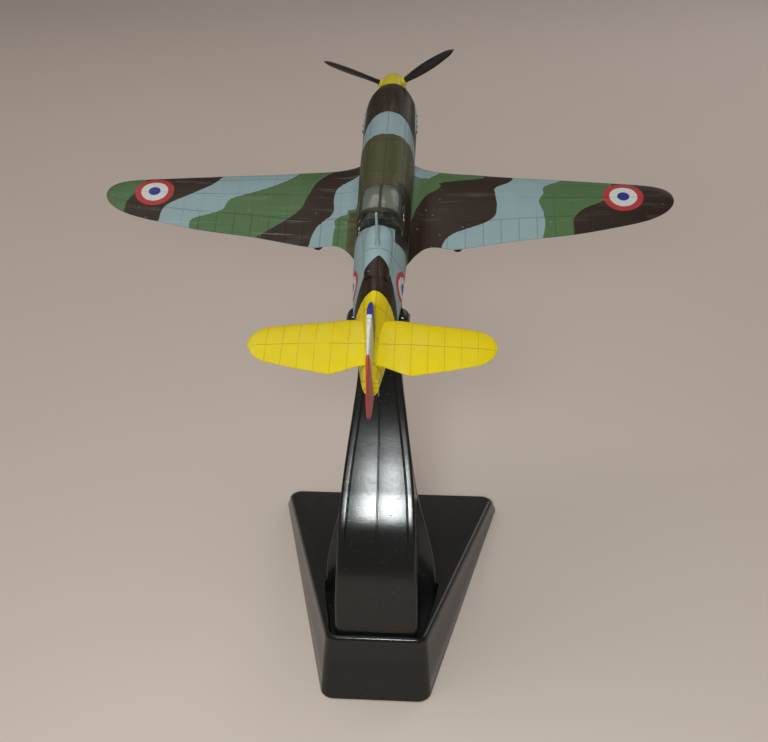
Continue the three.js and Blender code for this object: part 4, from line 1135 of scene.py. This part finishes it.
def make_exhausts():
    """A raised panel along each side of the cowl, with six stubs in a row."""
    plate = rounded_outline([(5.0, 5.7, 0.3), (6.75, 6.0, 0.5), (6.75, 7.9, 0.5), (5.0, 8.3, 0.3)], 5)
    centre = plate.mean(0)
    for name, side in (("left", 1), ("right", -1)):
        rings = []
        for y, size, out in PANEL_SLOPE:
            p = centre + (plate - centre) * size
            rings.append(ring(side * (p[:, 0] + out), y, p[:, 1]))
        panel = make_object(f"exhaust_{name}_panel", loft(rings), "light")
        finish_piece(panel, "light")
        stubs = []
        for i in range(STUBS["count"]):
            y = STUBS["first"] + i * STUBS["gap"]
            vertices, faces = exhaust_stub(y)
            vertices[:, 0] += np.interp(y, PANEL_SLOPE[:, 0], PANEL_SLOPE[:, 2]) + 0.12
            stubs.append((vertices * (side, 1, 1), faces))
        row = make_object(f"exhaust_{name}_fine", join_parts(stubs), "exhaust")
        finish_piece(row, "exhaust", f"exhaust_{name}")


def make_scoop():
    read = smooth_rows([[-48.6, 2.2, -1.7], [-46, 2.6, -2.6], [-40, 2.6, -3.4], [-35, 2.2, -3.2],
                        [-31, 1.4, -2.4]])
    angle = circle(36)

    def hoop(y, half, low):
        return ring(half * np.cos(angle), y, (low + 3) / 2 + (3 - low) / 2 * np.sin(angle))

    hoops = [hoop(y, *read(y)[0]) for y in np.linspace(-48.6, -31, 30)]
    scoop = make_object("oil_cooler_scoop_fine", loft(hoops), "light")
    duct = loft([hoop(-49, 1.75, -1.3), hoop(-47.6, 1.95, -1.8), hoop(-45.6, 1.9, -1.9)])
    cut(scoop, make_object("duct", duct, "cockpit"))
    tidy_mesh(scoop, 30)
    finish_piece(scoop, "light", "oil_cooler_scoop")
    refined("shaft_bush", "steel", 0.1)


# ---- Propeller -------------------------------------------------------------
BLADE_ANGLES = (36.2, 156.2, 276.2)
BLADE_RADIUS = 20.2
BLADE_TIP = 18.6
# Rows: [radius, chord, thickness, pitch]
BLADE_ROWS = [[1.6, 1.1, 0.9, 62], [4, 1.7, 0.75, 56], [8, 2.7, 0.6, 46], [12, 3.0, 0.5, 38],
              [16, 2.5, 0.4, 31],
              [19, 1.5, 0.3, 27], [BLADE_RADIUS, 0.5, 0.2, 26]]


def blade():
    read = smooth_rows(BLADE_ROWS)
    angle = circle(28)
    rings = []
    for radius in span_stations(1.6, BLADE_RADIUS, 44, 1.4):
        chord, thick, pitch = read(radius)[0] * (0.88, 1.7, 1.0) - (0, 0, 12)
        if radius > BLADE_TIP:
            chord *= max(0.05, 1 - ((radius - BLADE_TIP) / (BLADE_RADIUS + 0.05 - BLADE_TIP)) ** 2.4) ** 0.5
        c, s = math.cos(math.radians(pitch)), math.sin(math.radians(pitch))
        along = np.cos(angle) * chord / 2
        across = np.sin(angle) * thick / 2 * (1 + 0.25 * np.cos(angle))
        rings.append(ring(radius, along * s + across * c, along * c - across * s))
    return loft(rings)


def cuff():
    """The raised collar where a blade leaves the spinner."""
    angle = circle(28)
    steps = ((2.2, 1.2), (3.4, 1.2), (3.9, 1.12), (4.15, 0.95), (4.2, 0.6))
    return loft([ring(radius, size * 1.05 * np.cos(angle), size * np.sin(angle)) for radius, size in steps])


def make_propeller():
    centre = (0, PROP_Y, THRUST_Z)
    turns = [Matrix.Rotation(math.radians(degrees - 180), 4, "Y") for degrees in BLADE_ANGLES]
    hub = placed(lathe([[0, -1.5], [2.3, -1.5], [2.5, -1.3], [2.5, 1.3], [2.3, 1.5], [0, 1.5]], 40), centre)
    blades = [placed(blade(), centre, turn) for turn in turns]
    obj = make_object("propeller_blades_fine", join_parts(blades + [hub]), "blade")
    finish_piece(obj, "blade", "propeller_blades", body="propeller")
    profile = [[3.8 * math.sin(t) ** 0.8, -51.9 - 8.2 * math.cos(t)] for t in np.linspace(0, math.pi / 2, 40)]
    profile += [[3.7, -51.8], [3.3, -51.75], [2.0, -51.75], [0, -51.75]]
    spinner = placed(lathe(profile, 72), (0, 0, THRUST_Z))
    cuffs = [placed(cuff(), centre, turn) for turn in turns]
    obj = make_object("spinner_fine", join_parts([spinner] + cuffs), "yellow", sharp=40)
    finish_piece(obj, "yellow", "spinner", "shaft_retainer", body="propeller")
    refined("propeller_shaft", "steel", 0.1, "propeller")


# ---- Landing gear ----------------------------------------------------------
WHEEL_X = 18.4
AXLE = {"y": -15.2, "z": -9.9}
TYRE_SIDE = [[2.75, 0.95], [2.95, 1.2], [3.5, 1.25], [3.95, 1.1], [4.3, 0.75]]
HUB_SIDE = [[0.84, 0.95], [1.4, 0.95], [1.6, 0.7], [2.3, 0.62], [2.5, 0.95], [2.76, 1.0], [2.8, 0.9]]


def turned_both_ways(side, middle=()):
    """A closed profile from one side's points, the middle and the same side mirrored."""
    return [[r, -x] for r, x in side] + list(middle) + side[::-1]


def make_gear():
    for name, side in (("left", 1), ("right", -1)):
        place = (side * WHEEL_X, AXLE["y"], AXLE["z"])
        tread = []
        for step in range(-3, 4):
            drop, middle = 0.05 * step**2 / 9, step * 0.13
            tread += [[4.5 - drop, middle - 0.04], [4.42 - drop, middle], [4.5 - drop, middle + 0.04]]
        tyre = lathe(turned_both_ways(TYRE_SIDE, tread), 64, "x")
        obj = make_object(f"tyre_{name}", placed(tyre, place), "rubber")
        finish_piece(obj, "rubber", f"main_wheel_{name}", body=f"wheel_{name}")
        hub = lathe(turned_both_ways(HUB_SIDE), 64, "x")
        obj = make_object(f"wheel_hub_{name}", placed(hub, place), "gear", sharp=30)
        finish_piece(obj, "gear", body=f"wheel_{name}")
        refined(f"gear_leg_{name}", "gear", 0.12)
        refined(f"gear_door_{name}", "light", 0.12, slot="gear_paint")
        refined(f"wheel_axle_{name}", "steel", 0.08)
    refined("tail_wheel_fork", "gear", 0.12)
    refined("tail_wheel", "rubber", 0.3)


# ---- Stage -----------------------------------------------------------------
CAMERA = {"place": (-14.31, 214.78, 198.19), "yaw": -0.068, "pitch": 0.559, "roll": -0.014, "lens": 44.8}
FLOOR = 3.0
# Lights: name, place, target, size, power, colour
LIGHTS = [
    ("key", (0.0055, 0.226, 0.206), (0, 0, 0.07), 0.05, 0.3, (0.93, 1.0, 1.0)),
    ("overhead", (0.25, -0.1, 0.9), (0, 0, 0.05), 0.8, 2.0, (1.0, 0.96, 0.92)),
    ("front_fill", (-0.5, -0.7, 0.5), (0, 0, 0.06), 0.6, 0.9, (0.95, 0.97, 1.0)),
]


def make_camera():
    yaw, pitch, roll = CAMERA["yaw"], CAMERA["pitch"], CAMERA["roll"]
    ahead = Vector((-math.sin(yaw) * math.cos(pitch), -math.cos(yaw) * math.cos(pitch), -math.sin(pitch)))
    right = Vector((-math.cos(yaw), math.sin(yaw), 0))
    up = right.cross(ahead)
    level = right * math.cos(roll) + up * math.sin(roll)
    rise = up * math.cos(roll) - right * math.sin(roll)
    data = bpy.data.cameras.new("camera")
    data.lens = CAMERA["lens"]
    data.sensor_width = 36
    data.clip_start = 0.01
    camera = bpy.data.objects.new("camera", data)
    columns = Matrix((level, rise, -ahead)).transposed().to_4x4()
    camera.matrix_world = Matrix.Translation(Vector(CAMERA["place"]) * MM) @ columns
    bpy.context.scene.collection.objects.link(camera)
    bpy.context.scene.camera = camera


def make_lights():
    for name, place, target, size, power, colour in LIGHTS:
        data = bpy.data.lights.new(name, "AREA")
        data.shape = "DISK"
        data.size = size
        data.energy = power
        data.color = colour
        light = bpy.data.objects.new(name, data)
        light.location = place
        light.rotation_mode = "QUATERNION"
        light.rotation_quaternion = (Vector(target) - Vector(place)).to_track_quat("-Z", "Y")
        bpy.context.scene.collection.objects.link(light)


def make_stage():
    corners = [(x, y, 0) for x, y in ((-FLOOR, -FLOOR), (FLOOR, -FLOOR), (FLOOR, FLOOR), (-FLOOR, FLOOR))]
    mesh = bpy.data.meshes.new("floor")
    mesh.from_pydata(corners, [], [(0, 1, 2, 3)])
    floor = bpy.data.objects.new("floor", mesh)
    bpy.context.scene.collection.objects.link(floor)
    n = Nodes("floor_pale")
    colour = n.mix(n.noise(6, 3, 0.5), srgb(232, 216, 204), srgb(238, 223, 212))
    n.put(n.shader.inputs["Base Color"], colour)
    n.put(n.shader.inputs["Roughness"], 0.75)
    mesh.materials.append(n.material)
    make_lights()
    world = bpy.data.worlds.new("studio")
    bpy.context.scene.world = world
    world.use_nodes = True
    background = world.node_tree.nodes["Background"]
    background.inputs["Color"].default_value = (0.9, 0.86, 0.82, 1)
    background.inputs["Strength"].default_value = 0.2
    bpy.context.scene.view_settings.view_transform = "Standard"


make_camera()
make_stage()
make_base()
make_arm()
make_fuselage()
make_wing()
make_radiator()
make_tailplane("tailplane_left", 1)
make_tailplane("tailplane_right", -1)
make_fin()
make_canopy()
make_mast()
make_exhausts()
make_scoop()
make_propeller()
make_gear()


def write_sizes():
    import json


write_sizes()
